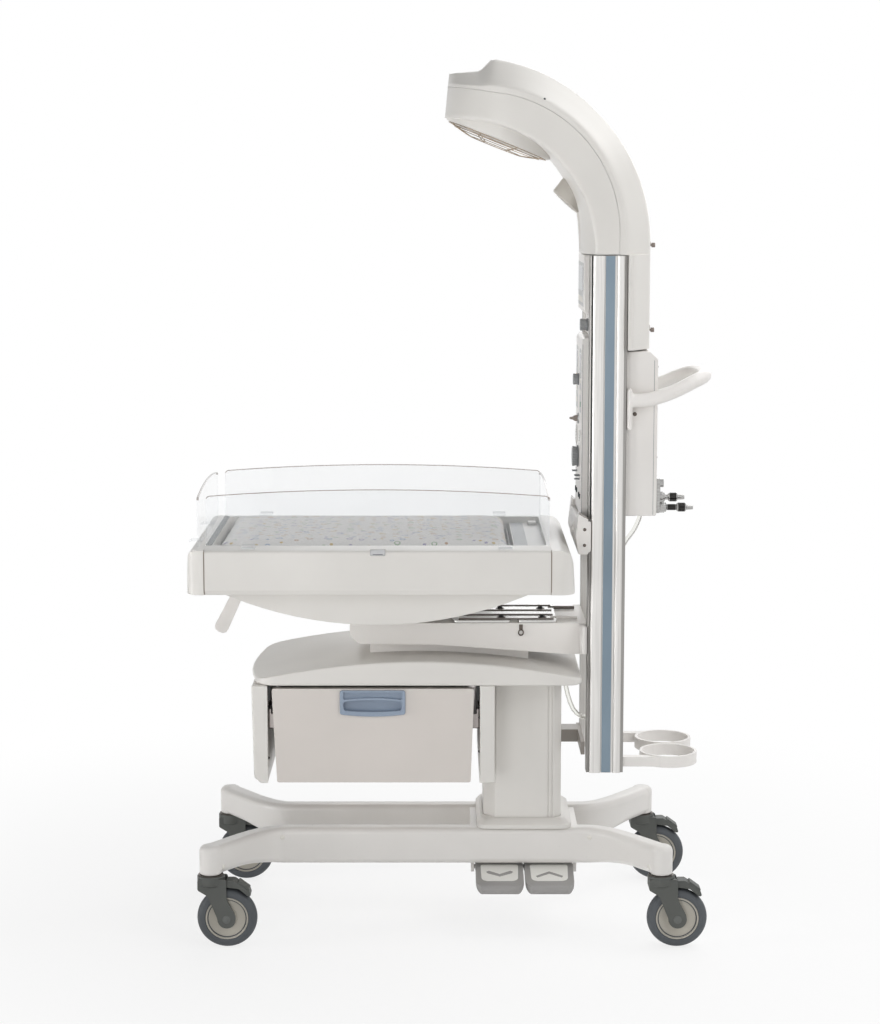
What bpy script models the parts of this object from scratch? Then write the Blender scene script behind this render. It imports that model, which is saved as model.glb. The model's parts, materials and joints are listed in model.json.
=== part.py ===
"""Infant radiant warmer: wheeled base, lift column, cabinet with a drawer, tilting bed and heater mast.

Metres, Z up, X along the bed toward the mast, Y away from the front. All X values are first written
from the middle of the picture plane and the whole object is centred at the end.
"""
import math

import bmesh
import bpy
from mathutils import Matrix, Vector

GAP = 0.0003
RUN = 0.001

WHEEL_D = 0.127
WHEEL_W = 0.032
CASTER_Y = 0.247
CASTER_X = {"l": -0.483, "r": 0.466}
CASTER_TRAIL = 0.034
FORK_W = 0.046
FORK_CROWN_D = 0.057

RAIL_TOP = 0.219
RAIL_MID_LOW = 0.140
RAIL_END_LOW = 0.157
RAIL_T = 0.046
RAIL_MID_Y = 0.097
RAIL_OVERHANG = {"l": -0.027, "r": 0.022}
RAIL_FLARE_RUN = {"l": 0.137, "r": -0.155}
RAIL_END_RUN = {"l": 0.021, "r": -0.026}

SLEEVE_X = (0.094, 0.262)
SLEEVE_Y = 0.100
SLEEVE_LOW = 0.229
SLEEVE_WALL = 0.006
LIFT_TRAVEL = 0.200

CAB_X = (-0.408, 0.300)
CAB_Y = 0.200
CAB_LOW = 0.550
CAB_CROWN = 0.602
CAB_CROWN_X = -0.042
CAB_CROWN_DROP = 0.037
CAB_CROWN_RUN = 0.3385
WALL_LOW = 0.339
FOOT_WALL_X = (-0.398, -0.364)
FOOT_WALL_TOE = (-0.394, -0.381, 0.012)
HEAD_WALL_X = (0.084, 0.116)
DRAWER_TOP = (-0.355, 0.072, 0.543)
DRAWER_FOOT = (-0.345, 0.065, 0.341)
DRAWER_X = (-0.342, 0.061)
DRAWER_Z = (0.352, 0.530)
DRAWER_FRONT_T = 0.020

BEAM_X = (-0.193, 0.313)
BEAM_Y = 0.105
BEAM_TOP = 0.667
BEAM_LOW = {"toe": 0.640, "left": 0.622, "middle": 0.620, "mast": 0.600}
BEAM_KNEE_X = (-0.173, -0.010, 0.268)
PEDESTAL_X = (-0.150, 0.190)
PEDESTAL_Y = 0.080
PEDESTAL_LOW = 0.578
PLATE_T = 0.005

BED_X = (-0.487, 0.230)
BED_Y = 0.265
BED_LOW = 0.755
BED_RIM = 0.852
BED_FLOOR = 0.800
BELLY_LOW = 0.687
BELLY_R = 0.810
BELLY_Y = 0.235
RECESS_Y = 0.216
RECESS_X = (-0.475, 0.222)
LEDGE_X = 0.156
LEDGE_Z = 0.838
LATCH_X = (-0.144, -0.113)
LATCH_LOW = 0.838
LEVER_AT = (-0.420, 0.752)
LEVER_HALF = 0.0135
LEVER_LEN = 0.136
MAT_X = (-0.472, 0.152)
MAT_Y = 0.214
TILT_X = -0.131
TILT_Z = 0.720
PANEL_T = 0.005
PANEL_Y = 0.2225
PANEL_END_H = 0.104
PANEL_MID_H = 0.118
FOOT_CAP_X = -0.525
HEAD_CAP_X = 0.280
KNUCKLE_R = 0.0032

MAST_X = (0.313, 0.392)
MAST_Y = (0.100, 0.140)
MAST_Z = (0.347, 1.4495)
MODULE_X = 0.299
MODULE_Z = (0.892, 1.276)
BRACKET_Z = (0.375, 0.404)
HANDLE_PLATE_Z = (1.084, 1.172)
HANDLE_PLATE_T = 0.0117
INLET_PLATE_Y = (-0.090, -0.010)
INLET_Z = (0.902, 0.976)
GUIDE_ROD_X = (0.238, 0.296)
FOOT_BAR_X = (0.286, 0.292)
FOOT_BAR_Z = (0.821, 0.857, 0.898, 0.910)
FOOT_WING_X = (0.304, 0.3185)
FOOT_WING_Z = (0.826, 0.888, 0.894)
BULGE_AT = (0.310, 0.862)
BULGE_R = 0.029
BULGE_HALF = 0.060
GAS_X = 0.459
GAS_Z = (0.899, 1.248)
HANDLE_D = 0.031
HANDLE_END = 0.583

ARCH_W = 0.145
ARCH_FOOT = 1.4515
HEAD_SLOPE = math.radians(9.0)
RIM_START = (0.010, 1.736)
RIM_R = 0.270
RIM_X = 0.320
SEAM_START = (0.016, 1.799)
SEAM_R = 0.290
SEAM_X = 0.373
TOP_START = (0.019, 1.870)
TOP_R = 0.385
TOP_X = 0.444
HEATER_OFFSET = (0.112, -0.048)
HEATER_TILT = math.radians(21.5)
HEATER_R = 0.1075
LAMP_ANGLE = math.radians(27.7)
LAMP_SINK = 0.0033

SHIFT_X = -(HANDLE_END + FOOT_CAP_X - 2.0 * KNUCKLE_R - GAP) / 2.0

for old in list(bpy.data.objects):
    bpy.data.objects.remove(old, do_unlink=True)

PARTS = bpy.data.collections.new("infant_radiant_warmer")
TOOLS = bpy.data.collections.new("cutters_and_joiners")
bpy.context.scene.collection.children.link(PARTS)
bpy.context.scene.collection.children.link(TOOLS)


def material(name, colour, metallic=0.0, roughness=0.45):
    mat = bpy.data.materials.new(name)
    mat.use_nodes = True
    shader = mat.node_tree.nodes["Principled BSDF"]
    shader.inputs["Base Color"].default_value = (*colour, 1.0)
    shader.inputs["Metallic"].default_value = metallic
    shader.inputs["Roughness"].default_value = roughness
    return mat


WHITE = ("moulded white plastic", (0.74, 0.73, 0.71))
PAINT = ("powder coated steel", (0.72, 0.71, 0.69), 0.0, 0.35)
SILVER = ("anodised aluminium", (0.62, 0.63, 0.64), 0.9, 0.35)
STEEL = ("polished steel", (0.65, 0.65, 0.65), 1.0, 0.2)
GREY = ("grey moulded nylon", (0.08, 0.085, 0.08))
RUBBER = ("grey rubber", (0.09, 0.1, 0.1), 0.0, 0.8)
BLUE = ("blue moulded plastic", (0.24, 0.31, 0.4))
BLACK = ("black coated steel", (0.02, 0.02, 0.02))
CLEAR = ("clear acrylic", (0.85, 0.9, 0.92), 0.0, 0.05)
FOAM = ("covered foam", (0.75, 0.76, 0.78), 0.0, 0.8)


def adopt(ob, name, look, bevel=0.0, segments=2):
    """File an object as a part, or as a helper when it has no look."""
    ob.name = name
    for home in list(ob.users_collection):
        home.objects.unlink(ob)
    if look is None:
        TOOLS.objects.link(ob)
        ob.hide_render = True
        ob.display_type = "WIRE"
    else:
        PARTS.objects.link(ob)
        ob.data.materials.clear()
        ob.data.materials.append(material(name + " " + look[0], *look[1:]))
    if bevel > 0.0:
        mod = ob.modifiers.new("Bevel", "BEVEL")
        mod.width = bevel
        mod.segments = segments
        mod.limit_method = "ANGLE"
        mod.angle_limit = math.radians(40.0)
        mod.harden_normals = False
    return ob


def from_mesh(name, mesh, look, bevel=0.0, segments=2):
    ob = bpy.data.objects.new(name, mesh)
    return adopt(ob, name, look, bevel, segments)


def box(name, x, y, z, look=None, bevel=0.0, segments=2):
    """Box from three (low, high) pairs."""
    bpy.ops.mesh.primitive_cube_add(size=1.0)
    ob = bpy.context.active_object
    size = Matrix.Diagonal((x[1] - x[0], y[1] - y[0], z[1] - z[0], 1.0))
    centre = Matrix.Translation(((x[0] + x[1]) / 2, (y[0] + y[1]) / 2, (z[0] + z[1]) / 2))
    ob.data.transform(centre @ size)
    return adopt(ob, name, look, bevel, segments)


def rod(name, start, end, radius, look=None, sides=20, bevel=0.0):
    """Cylinder between two points."""
    start, end = Vector(start), Vector(end)
    along = end - start
    bpy.ops.mesh.primitive_cylinder_add(vertices=sides, radius=radius, depth=along.length)
    ob = bpy.context.active_object
    turn = along.to_track_quat("Z", "Y").to_matrix().to_4x4()
    ob.data.transform(Matrix.Translation((start + end) / 2) @ turn)
    return adopt(ob, name, look, bevel)


def rounded(corners, steps=4):
    """Outline points from (a, b, radius) corners, with each round drawn in the given steps."""
    points = []
    count = len(corners)
    for i, (a, b, radius) in enumerate(corners):
        here = Vector((a, b))
        if radius <= 0.0:
            points.append((a, b))
            continue
        back = (Vector(corners[i - 1][:2]) - here).normalized()
        ahead = (Vector(corners[(i + 1) % count][:2]) - here).normalized()
        half = back.angle(ahead) / 2.0
        reach = radius / math.sin(half)
        middle = here + (back + ahead).normalized() * reach
        first = here + back * (radius / math.tan(half)) - middle
        last = here + ahead * (radius / math.tan(half)) - middle
        sweep = first.angle_signed(last)
        for k in range(steps + 1):
            turn = Matrix.Rotation(-sweep * k / steps, 2)
            spot = middle + turn @ first
            points.append((spot.x, spot.y))
    return points


def outline(name, points, low, high, plane, look=None, bevel=0.0, segments=2):
    """Flat outline made solid across X, Y or Z; the points are (y, z), (x, z) or (x, y)."""
    curve = bpy.data.curves.new(name, "CURVE")
    curve.dimensions = "2D"
    curve.fill_mode = "BOTH"
    curve.extrude = (high - low) / 2.0
    spline = curve.splines.new("POLY")
    spline.points.add(len(points) - 1)
    spline.use_cyclic_u = True
    for spot, (a, b) in zip(spline.points, points):
        spot.co = (a, b, 0.0, 1.0)
    flat = bpy.data.objects.new(name + "_flat", curve)
    mesh = bpy.data.meshes.new_from_object(flat)
    bpy.data.objects.remove(flat)
    middle = (low + high) / 2.0
    rows = {
        "Z": ((1, 0, 0, 0), (0, 1, 0, 0), (0, 0, 1, middle), (0, 0, 0, 1)),
        "Y": ((1, 0, 0, 0), (0, 0, 1, middle), (0, 1, 0, 0), (0, 0, 0, 1)),
        "X": ((0, 0, 1, middle), (1, 0, 0, 0), (0, 1, 0, 0), (0, 0, 0, 1)),
    }
    mesh.transform(Matrix(rows[plane]))
    return from_mesh(name, welded(mesh), look, bevel, segments)


def welded(mesh):
    work = bmesh.new()
    work.from_mesh(mesh)
    bmesh.ops.remove_doubles(work, verts=work.verts, dist=1e-6)
    bmesh.ops.recalc_face_normals(work, faces=work.faces)
    work.to_mesh(mesh)
    work.free()
    return mesh


def loft(name, sections, look=None, bevel=0.0):
    """Skin over a row of like sections, closed at both ends."""
    count = len(sections[0])
    spots = [spot for section in sections for spot in section]
    faces = [list(range(count)), list(range(len(spots) - count, len(spots)))]
    for i in range(len(sections) - 1):
        for k in range(count):
            n = (k + 1) % count
            faces.append([i * count + k, i * count + n, (i + 1) * count + n, (i + 1) * count + k])
    mesh = bpy.data.meshes.new(name)
    mesh.from_pydata(spots, [], faces)
    return from_mesh(name, welded(mesh), look, bevel)


def turned(name, profile, at, direction=(0, 0, 1), look=None, steps=24):
    """Profile of (radius, height) from top to bottom, turned about an axis through a point."""
    mesh = bpy.data.meshes.new(name)
    spots = [(r, 0.0, h) for r, h in profile]
    mesh.from_pydata(spots, [(i, i + 1) for i in range(len(spots) - 1)], [])
    ob = from_mesh(name, mesh, look)
    mod = ob.modifiers.new("Screw", "SCREW")
    mod.axis = "Z"
    mod.steps = steps
    mod.render_steps = steps
    mod.use_merge_vertices = True
    mod.merge_threshold = 0.00005
    mod.use_smooth_shade = True
    ob.location = at
    ob.rotation_mode = "QUATERNION"
    ob.rotation_quaternion = Vector(direction).to_track_quat("Z", "Y")
    return ob


def smooth_path(points, per_leg=6):
    """Points along a smooth curve through the given ones."""
    spots = [Vector(p) for p in points]
    ends = [spots[0] * 2 - spots[1]] + spots + [spots[-1] * 2 - spots[-2]]
    path = []
    for i in range(1, len(spots)):
        a, b, c, d = ends[i - 1], ends[i], ends[i + 1], ends[i + 2]
        for k in range(per_leg):
            t = k / per_leg
            path.append(0.5 * (2 * b + (c - a) * t + (2 * a - 5 * b + 4 * c - d) * t ** 2
                               + (3 * b - a - 3 * c + d) * t ** 3))
    path.append(spots[-1])
    return path


def tube(name, path, radius, look=None, ring=2):
    """Round tube along a path, capped at both ends."""
    curve = bpy.data.curves.new(name, "CURVE")
    curve.dimensions = "3D"
    curve.bevel_depth = radius
    curve.bevel_resolution = ring
    curve.use_fill_caps = True
    spline = curve.splines.new("POLY")
    spline.points.add(len(path) - 1)
    for spot, co in zip(spline.points, path):
        spot.co = (*co, 1.0)
    bent = bpy.data.objects.new(name + "_path", curve)
    mesh = bpy.data.meshes.new_from_object(bent)
    bpy.data.objects.remove(bent)
    return from_mesh(name, welded(mesh), look)


def combine(target, operation, *tools):
    for tool in tools:
        mod = target.modifiers.new(tool.name, "BOOLEAN")
        mod.object = tool
        mod.operation = operation
        mod.solver = "EXACT"
    return target


def cut(target, *tools):
    return combine(target, "DIFFERENCE", *tools)


def fuse(target, *tools):
    return combine(target, "UNION", *tools)


def keep(target, *tools):
    return combine(target, "INTERSECT", *tools)


def seat(ob, pivot):
    """Put the origin of a moving piece on its joint axis."""
    ob.data.transform(Matrix.Translation(-Vector(pivot)))
    ob.location = pivot
    return ob


def ease(t):
    t = min(max(t, 0.0), 1.0)
    return t * t * (3.0 - 2.0 * t)


# Base

def flare(key):
    """Where a rail starts to swing out at one end, and where it runs straight again."""
    outer = CASTER_X[key] + RAIL_END_RUN[key]
    return outer + RAIL_FLARE_RUN[key], outer


def rail_path(x):
    """Distance of a base rail from the middle plane, and its lower edge, at a place along it."""
    inner, outer = flare("l" if x < 0.0 else "r")
    t = ease((x - inner) / (outer - inner))
    y = RAIL_MID_Y + (CASTER_Y - RAIL_MID_Y) * t
    return y, RAIL_MID_LOW + (RAIL_END_LOW - RAIL_MID_LOW) * t


def rail_section(x, side, shrink):
    y, low = rail_path(x)
    slope = (rail_path(x + 0.001)[0] - rail_path(x - 0.001)[0]) / 0.002
    across = Vector((-slope, 1.0)).normalized()
    half_w = RAIL_T / 2.0 - shrink
    mid = (RAIL_TOP + low) / 2.0
    half_h = (RAIL_TOP - low) / 2.0 - shrink
    r = 0.011 - shrink * 0.5
    corners = [(-half_w, -half_h, r), (half_w, -half_h, r), (half_w, half_h, r), (-half_w, half_h, r)]
    shape = rounded(corners, 2)
    return [(x + across.x * a, side * (y + across.y * a), mid + b) for a, b in shape]


def base_rail(name, side):
    start, end = (CASTER_X[key] + RAIL_OVERHANG[key] for key in ("l", "r"))
    stations = [(start, 0.010), (start + 0.004, 0.004), (start + 0.012, 0.0)]
    for key in ("l", "r"):
        inner, outer = flare(key)
        bend = [(inner + (outer - inner) * k / 8.0, 0.0) for k in range(9)]
        stations += bend[::-1] if key == "l" else bend
    stations += [(end - 0.012, 0.0), (end - 0.004, 0.004), (end, 0.010)]
    sections = [rail_section(x, side, shrink) for x, shrink in stations]
    return loft(name, sections, PAINT)


base_rail("base_rail_near", -1)
base_rail("base_rail_far", 1)

BRIDGE_Y = RAIL_MID_Y - RAIL_T / 2.0 - GAP
BRIDGE_Z = (0.150, 0.215)
PEDAL_ROD = (-0.060, 0.118)
PEDAL_ROD_R = 0.005
PEDAL_X = {"pedal_down": (0.077, 0.180), "pedal_up": (0.183, 0.288)}
EAR_X = ((0.0665, 0.0745), (0.2905, 0.2985))
base_bridge = box("base_bridge", (EAR_X[0][0], EAR_X[1][1]), (-BRIDGE_Y, BRIDGE_Y), BRIDGE_Z, PAINT)
for i, ear in enumerate(EAR_X):
    y, z = PEDAL_ROD
    ear_shape = rounded([(y - 0.011, z - 0.011, 0.008), (y + 0.011, z - 0.011, 0.008),
                         (y + 0.011, BRIDGE_Z[0] + 0.010, 0), (y - 0.011, BRIDGE_Z[0] + 0.010, 0)])
    fuse(base_bridge, outline("ear_%d" % i, ear_shape, ear[0] + 0.001 * (1 - i), ear[1] - 0.001 * i, "X"))
fuse(base_bridge, rod("pedal_rod", (EAR_X[0][0] + 0.004, *PEDAL_ROD), (EAR_X[1][1] - 0.004, *PEDAL_ROD),
                      PEDAL_ROD_R, sides=16))


def pedal(name, x):
    """Foot pedal: sloping tread, web back under the rail and a bored hub on the rod."""
    y, z = PEDAL_ROD
    side = [(y, z + 0.009, 0), (-0.096, 0.1335, 0.004), (-0.190, 0.112, 0.008), (-0.190, 0.092, 0.009),
            (-0.178, 0.092, 0.004), (-0.170, 0.106, 0.006), (-0.100, 0.120, 0.004), (y, z - 0.009, 0)]
    tread = outline(name, rounded(side, 3), x[0], x[1], "X", GREY)
    plan = [(x[0], -0.040, 0), (x[1], -0.040, 0), (x[1], -0.192, 0.026), (x[0], -0.192, 0.026)]
    keep(tread, outline(name + "_plan", rounded(plan, 4), 0.05, 0.20, "Z"))
    hub = rod(name + "_hub", (x[0] + 0.002, y, z), (x[1] - 0.002, y, z), 0.011, sides=20)
    bore = rod(name + "_bore", (x[0] - 0.01, y, z), (x[1] + 0.01, y, z), PEDAL_ROD_R + GAP, sides=20)
    cut(fuse(tread, hub), bore)
    return seat(tread, ((x[0] + x[1]) / 2.0, y, z))


for pedal_name, pedal_x in PEDAL_X.items():
    pedal(pedal_name, pedal_x)


def sleeve_plan(grow):
    x0, x1 = SLEEVE_X[0] - grow, SLEEVE_X[1] + grow
    y = SLEEVE_Y + grow
    half = [(x0, y - 0.030, 0.006), (x0 + 0.025, y, 0.008), (x1 - 0.016, y, 0.008), (x1, y - 0.018, 0.006)]
    return [(a, -b, r) for a, b, r in half] + half[::-1]


COLLAR_Z = (RAIL_TOP + GAP, 0.239)
COLLAR_FOOT = (0.080, 0.284, 0.122)
COLLAR_HEAD = (0.087, 0.270, 0.107)


def collar_section(plan, z):
    x0, x1, y = plan
    ring = rounded([(x0, -y, 0.022), (x1, -y, 0.022), (x1, y, 0.022), (x0, y, 0.022)], 3)
    return [(a, b, z) for a, b in ring]


column_collar = loft("column_collar", [collar_section(COLLAR_FOOT, COLLAR_Z[0]),
                                       collar_section(COLLAR_FOOT, COLLAR_Z[0] + 0.008),
                                       collar_section(COLLAR_HEAD, COLLAR_Z[1])], WHITE)
cut(column_collar, outline("collar_hole", rounded(sleeve_plan(RUN), 3), COLLAR_Z[0] - 0.01,
                           COLLAR_Z[1] + 0.01, "Z"))

POST_X = (SLEEVE_X[0] + 0.018, SLEEVE_X[1] - 0.018)
POST_Y = SLEEVE_Y - 0.024
post = [(POST_X[0], -POST_Y, 0.02), (POST_X[1], -POST_Y, 0.02), (POST_X[1], POST_Y, 0.02),
        (POST_X[0], POST_Y, 0.02)]
lift_column = outline("lift_column", rounded(post, 3), BRIDGE_Z[1] + GAP, CAB_LOW - 0.015, "Z", SILVER)
bore = SLEEVE_WALL + GAP
SHOE_H = 0.024
post_mid = (POST_X[0] + POST_X[1]) / 2.0
for i, low in enumerate((SLEEVE_LOW + LIFT_TRAVEL + 0.010, CAB_LOW - 0.048)):
    shoe = (low, low + SHOE_H)
    fuse(lift_column, box("guide_shoe_x_%d" % i, (SLEEVE_X[0] + bore, SLEEVE_X[1] - bore), (-0.030, 0.030),
                          shoe))
    fuse(lift_column, box("guide_shoe_y_%d" % i, (post_mid - 0.020, post_mid + 0.020),
                          (-SLEEVE_Y + bore, SLEEVE_Y - bore), (shoe[0] + 0.001, shoe[1] - 0.001)))


# Casters

def caster(tag, key, side):
    stem = Vector((CASTER_X[key], side * CASTER_Y, 0.0))
    axle = stem + Vector((CASTER_TRAIL, 0.0, WHEEL_D / 2.0))
    top = RAIL_END_LOW - GAP
    half = FORK_W / 2.0

    def at(points):
        return [(stem.x + a, b, r) for a, b, r in points]

    side_view = at([(-0.024, 0.150, 0.006), (0.044, 0.150, 0.008), (0.045, 0.112, 0.03),
                    (0.052, 0.046, 0.016), (0.016, 0.046, 0.016), (0.004, 0.086, 0.03),
                    (-0.022, 0.124, 0.012)])
    fork = outline("caster_fork_" + tag, rounded(side_view, 2), stem.y - half, stem.y + half, "Y", GREY)
    r = FORK_CROWN_D / 2.0
    low = top - 0.024
    crown_side = [(0.0, top), (r - 0.003, top), (r, top - 0.003), (r, low + 0.0045), (r - 0.005, low),
                  (0.0, low)]
    crown = turned("crown_" + tag, crown_side, stem, steps=20)
    fuse(fork, crown)
    slot = WHEEL_W / 2.0 + 0.0015
    wheel_room = rod("wheel_room_" + tag, axle - Vector((0, slot, 0)), axle + Vector((0, slot, 0)),
                     WHEEL_D / 2.0 + 0.003, sides=24)
    lever_room = box("lever_room_" + tag, (stem.x + r + 0.0005, stem.x + 0.12),
                     (stem.y - slot, stem.y + slot), (0.06, 0.16))
    leg_room = box("leg_room_" + tag, (stem.x - 0.05, stem.x + 0.12), (stem.y - slot, stem.y + slot),
                   (0.03, 0.09))
    cut(fork, wheel_room, lever_room, leg_room)
    reach = Vector((0, half - 0.001, 0))
    pin = rod("axle_" + tag, axle - reach, axle + reach, 0.006, sides=12)
    fuse(fork, pin)
    seat(fork, stem)

    rad, w = WHEEL_D / 2.0, WHEEL_W / 2.0
    profile = [(0.0065, w), (0.020, w), (0.022, w - 0.004), (0.042, w - 0.004), (0.045, w - 0.001),
               (rad - 0.006, w - 0.003), (rad, w - 0.011)]
    lower = [(a, -b) for a, b in profile[::-1]]
    turned("caster_wheel_" + tag, profile + lower + profile[:1], axle, (0, 1, 0), GREY, 28)

    lever_view = at([(0.031, 0.146, 0.005), (0.052, 0.146, 0.006), (0.082, 0.124, 0.006),
                     (0.086, 0.112, 0.003), (0.078, 0.112, 0.002), (0.058, 0.132, 0.005),
                     (0.031, 0.134, 0.004)])
    lever = outline("caster_brake_" + tag, rounded(lever_view, 1), stem.y - slot + GAP, stem.y + slot - GAP,
                    "Y", GREY)
    seat(lever, stem + Vector((0.037, 0.0, 0.140)))


for end in ("l", "r"):
    caster("n" + end, end, -1)
    caster("f" + end, end, 1)


# Column sleeve and cabinet

column_sleeve = outline("column_sleeve", rounded(sleeve_plan(0.0), 2), SLEEVE_LOW, CAB_LOW - GAP, "Z",
                        WHITE)
cut(column_sleeve, outline("sleeve_bore", rounded(sleeve_plan(-SLEEVE_WALL), 2), SLEEVE_LOW - 0.01,
                           CAB_LOW - GAP - SLEEVE_WALL, "Z"))
for i, groove_x in enumerate((SLEEVE_X[1] - 0.030, SLEEVE_X[1] - 0.022)):
    for side in (-1, 1):
        face = side * SLEEVE_Y
        cut(column_sleeve, box("sleeve_groove_%d_%d" % (i, side), (groove_x, groove_x + 0.003),
                               (face - 0.002, face + 0.002), (SLEEVE_LOW - 0.01, CAB_LOW - 0.012)))


def crown(x):
    return CAB_CROWN - CAB_CROWN_DROP * ((x - CAB_CROWN_X) / CAB_CROWN_RUN) ** 2


x0, x1 = CAB_X
arch = [(x0 - 0.01 + (x1 - x0 + 0.02) * k / 18.0) for k in range(19)]
cab_side = [(x0 - 0.01, CAB_LOW)] + [(x, crown(x)) for x in arch] + [(x1 + 0.01, CAB_LOW)]
cabinet_top = outline("cabinet_top", cab_side, -CAB_Y - 0.01, CAB_Y + 0.01, "Y", WHITE)
bow = [(x0 + 0.014 * (abs(y) / 0.15) ** 2, y, 0) for y in (0.15, 0.10, 0.05, 0.0, -0.05, -0.10, -0.15)]
cab_plan = rounded([(x0 + 0.022, -CAB_Y, 0.045), (x1, -CAB_Y, 0.030), (x1, CAB_Y, 0.030),
                    (x0 + 0.022, CAB_Y, 0.045)] + bow, 4)
keep(cabinet_top, outline("cabinet_plan", cab_plan, CAB_LOW - 0.01, CAB_CROWN + 0.02, "Z"))
soften = cabinet_top.modifiers.new("Bevel", "BEVEL")
soften.width = 0.006
soften.segments = 2
soften.limit_method = "ANGLE"
soften.angle_limit = math.radians(50.0)

cut(cabinet_top, box("pedestal_pocket", (PEDESTAL_X[0] - GAP, PEDESTAL_X[1] + GAP),
                     (-PEDESTAL_Y - GAP, PEDESTAL_Y + GAP), (PEDESTAL_LOW - GAP, CAB_CROWN + 0.02)))

wall_top = CAB_LOW - GAP
WALL_Y = CAB_Y - 0.005
foot_out, foot_in = FOOT_WALL_X
toe_out, toe_in, toe_rise = FOOT_WALL_TOE
foot_side = [(foot_out, wall_top), (foot_in, wall_top), (foot_in, WALL_LOW), (toe_in, WALL_LOW),
             (toe_out, WALL_LOW + toe_rise)]
cabinet_wall_foot = outline("cabinet_wall_foot", foot_side, -WALL_Y, WALL_Y, "Y", WHITE, 0.004)
inner = SLEEVE_Y + 0.001
head_plan = [(HEAD_WALL_X[0], -WALL_Y), (HEAD_WALL_X[1], -WALL_Y), (HEAD_WALL_X[1], -inner),
             (SLEEVE_X[0] - GAP, -inner), (SLEEVE_X[0] - GAP, inner), (HEAD_WALL_X[1], inner),
             (HEAD_WALL_X[1], WALL_Y), (HEAD_WALL_X[0], WALL_Y)]
outline("cabinet_wall_head", head_plan, WALL_LOW, wall_top, "Z", WHITE, 0.003)

DRAWER_WALL = 0.006
RUNNER_Z = (0.452, 0.496)
front_y = -CAB_Y + 0.004
drawer_face = [(DRAWER_TOP[0], DRAWER_TOP[2], 0.004), (DRAWER_TOP[1], DRAWER_TOP[2], 0.004),
               (DRAWER_FOOT[1], DRAWER_FOOT[2], 0.004), (DRAWER_FOOT[0], DRAWER_FOOT[2], 0.004)]
drawer = outline("drawer", rounded(drawer_face, 2), front_y, front_y + DRAWER_FRONT_T, "Y", WHITE)
fuse(drawer, box("drawer_box", DRAWER_X, (front_y + 0.010, WALL_Y - 0.010), DRAWER_Z))
cut(drawer, box("drawer_room", (DRAWER_X[0] + DRAWER_WALL, DRAWER_X[1] - DRAWER_WALL),
                (front_y + DRAWER_FRONT_T, WALL_Y - 0.010 - DRAWER_WALL),
                (DRAWER_Z[0] + DRAWER_WALL, DRAWER_Z[1] + 0.05)))
for name, low, high in (("drawer_runner_foot", foot_in + GAP, DRAWER_X[0] - GAP),
                        ("drawer_runner_head", DRAWER_X[1] + GAP, HEAD_WALL_X[0] - GAP)):
    runner = box(name, (low, high), (front_y + DRAWER_FRONT_T + 0.004, WALL_Y - 0.012), RUNNER_Z, BLACK,
                 0.002, 1)
    middle = (RUNNER_Z[0] + RUNNER_Z[1]) / 2.0
    cut(runner, box(name + "_track", (low + 0.006, high - 0.006), (-CAB_Y, CAB_Y),
                    (middle + 0.010, RUNNER_Z[1] + 0.01)))

HANDLE_MID = -0.142
HANDLE_HALF = 0.070


def handle_shape(grow):
    half = HANDLE_HALF + grow
    sag = [(HANDLE_MID + half * 0.70 * math.cos(a), 0.494 - grow - 0.012 * math.sin(a), 0)
           for a in (math.pi * k / 8.0 for k in range(9))]
    return rounded([(HANDLE_MID - half, 0.541 + grow, 0.004), (HANDLE_MID + half, 0.541 + grow, 0.004),
                    (HANDLE_MID + half, 0.503, 0.006)] + sag + [(HANDLE_MID - half, 0.503, 0.006)], 3)


cut(drawer, outline("handle_pocket", handle_shape(GAP), front_y - 0.02, front_y + 0.013, "Y"))
drawer_handle = outline("drawer_handle", handle_shape(0.0), front_y - 0.006, front_y + 0.013 - GAP, "Y",
                        BLUE, 0.0015, 1)


def grip_arch(z, rise):
    return [(HANDLE_MID + 0.056 * (k / 5.0 - 1.0), z + rise * (1.0 - (k / 5.0 - 1.0) ** 2)) for k in range(11)]


upper = [(HANDLE_MID + 0.056, 0.536), (HANDLE_MID - 0.056, 0.536)] + grip_arch(0.518, 0.006)
scoop = grip_arch(0.505, 0.007) + grip_arch(0.503, -0.012)[::-1]
cut(drawer_handle, outline("grip_slot", upper, front_y - 0.02, front_y + 0.006, "Y"))
cut(drawer_handle, outline("grip_scoop", scoop, front_y - 0.02, front_y + 0.008, "Y"))
seat(drawer, (HANDLE_MID, front_y, 0.441))


# Beam and cradle under the bed

knee = BEAM_KNEE_X
beam_side = [(BEAM_X[0], BEAM_TOP, 0.006), (BEAM_X[0], BEAM_LOW["toe"], 0.010),
             (knee[0], BEAM_LOW["left"], 0.010), (knee[1], BEAM_LOW["middle"], 0.05),
             (knee[2], BEAM_LOW["mast"], 0.02), (BEAM_X[1] - GAP, BEAM_LOW["mast"], 0),
             (BEAM_X[1] - GAP, BEAM_TOP, 0)]
support_beam = outline("support_beam", rounded(beam_side, 3), -BEAM_Y, BEAM_Y, "Y", WHITE, 0.003, 1)
fuse(support_beam, box("pedestal", PEDESTAL_X, (-PEDESTAL_Y, PEDESTAL_Y), (PEDESTAL_LOW, BEAM_TOP - 0.017)))
fuse(support_beam, box("beam_flange", (BEAM_X[1] - 0.016, BEAM_X[1] - GAP - 0.0005),
                       (-MAST_Y[1] + 0.002, MAST_Y[1] - 0.002), (BEAM_LOW["mast"] + 0.006, BEAM_TOP - 0.003)))

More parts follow.
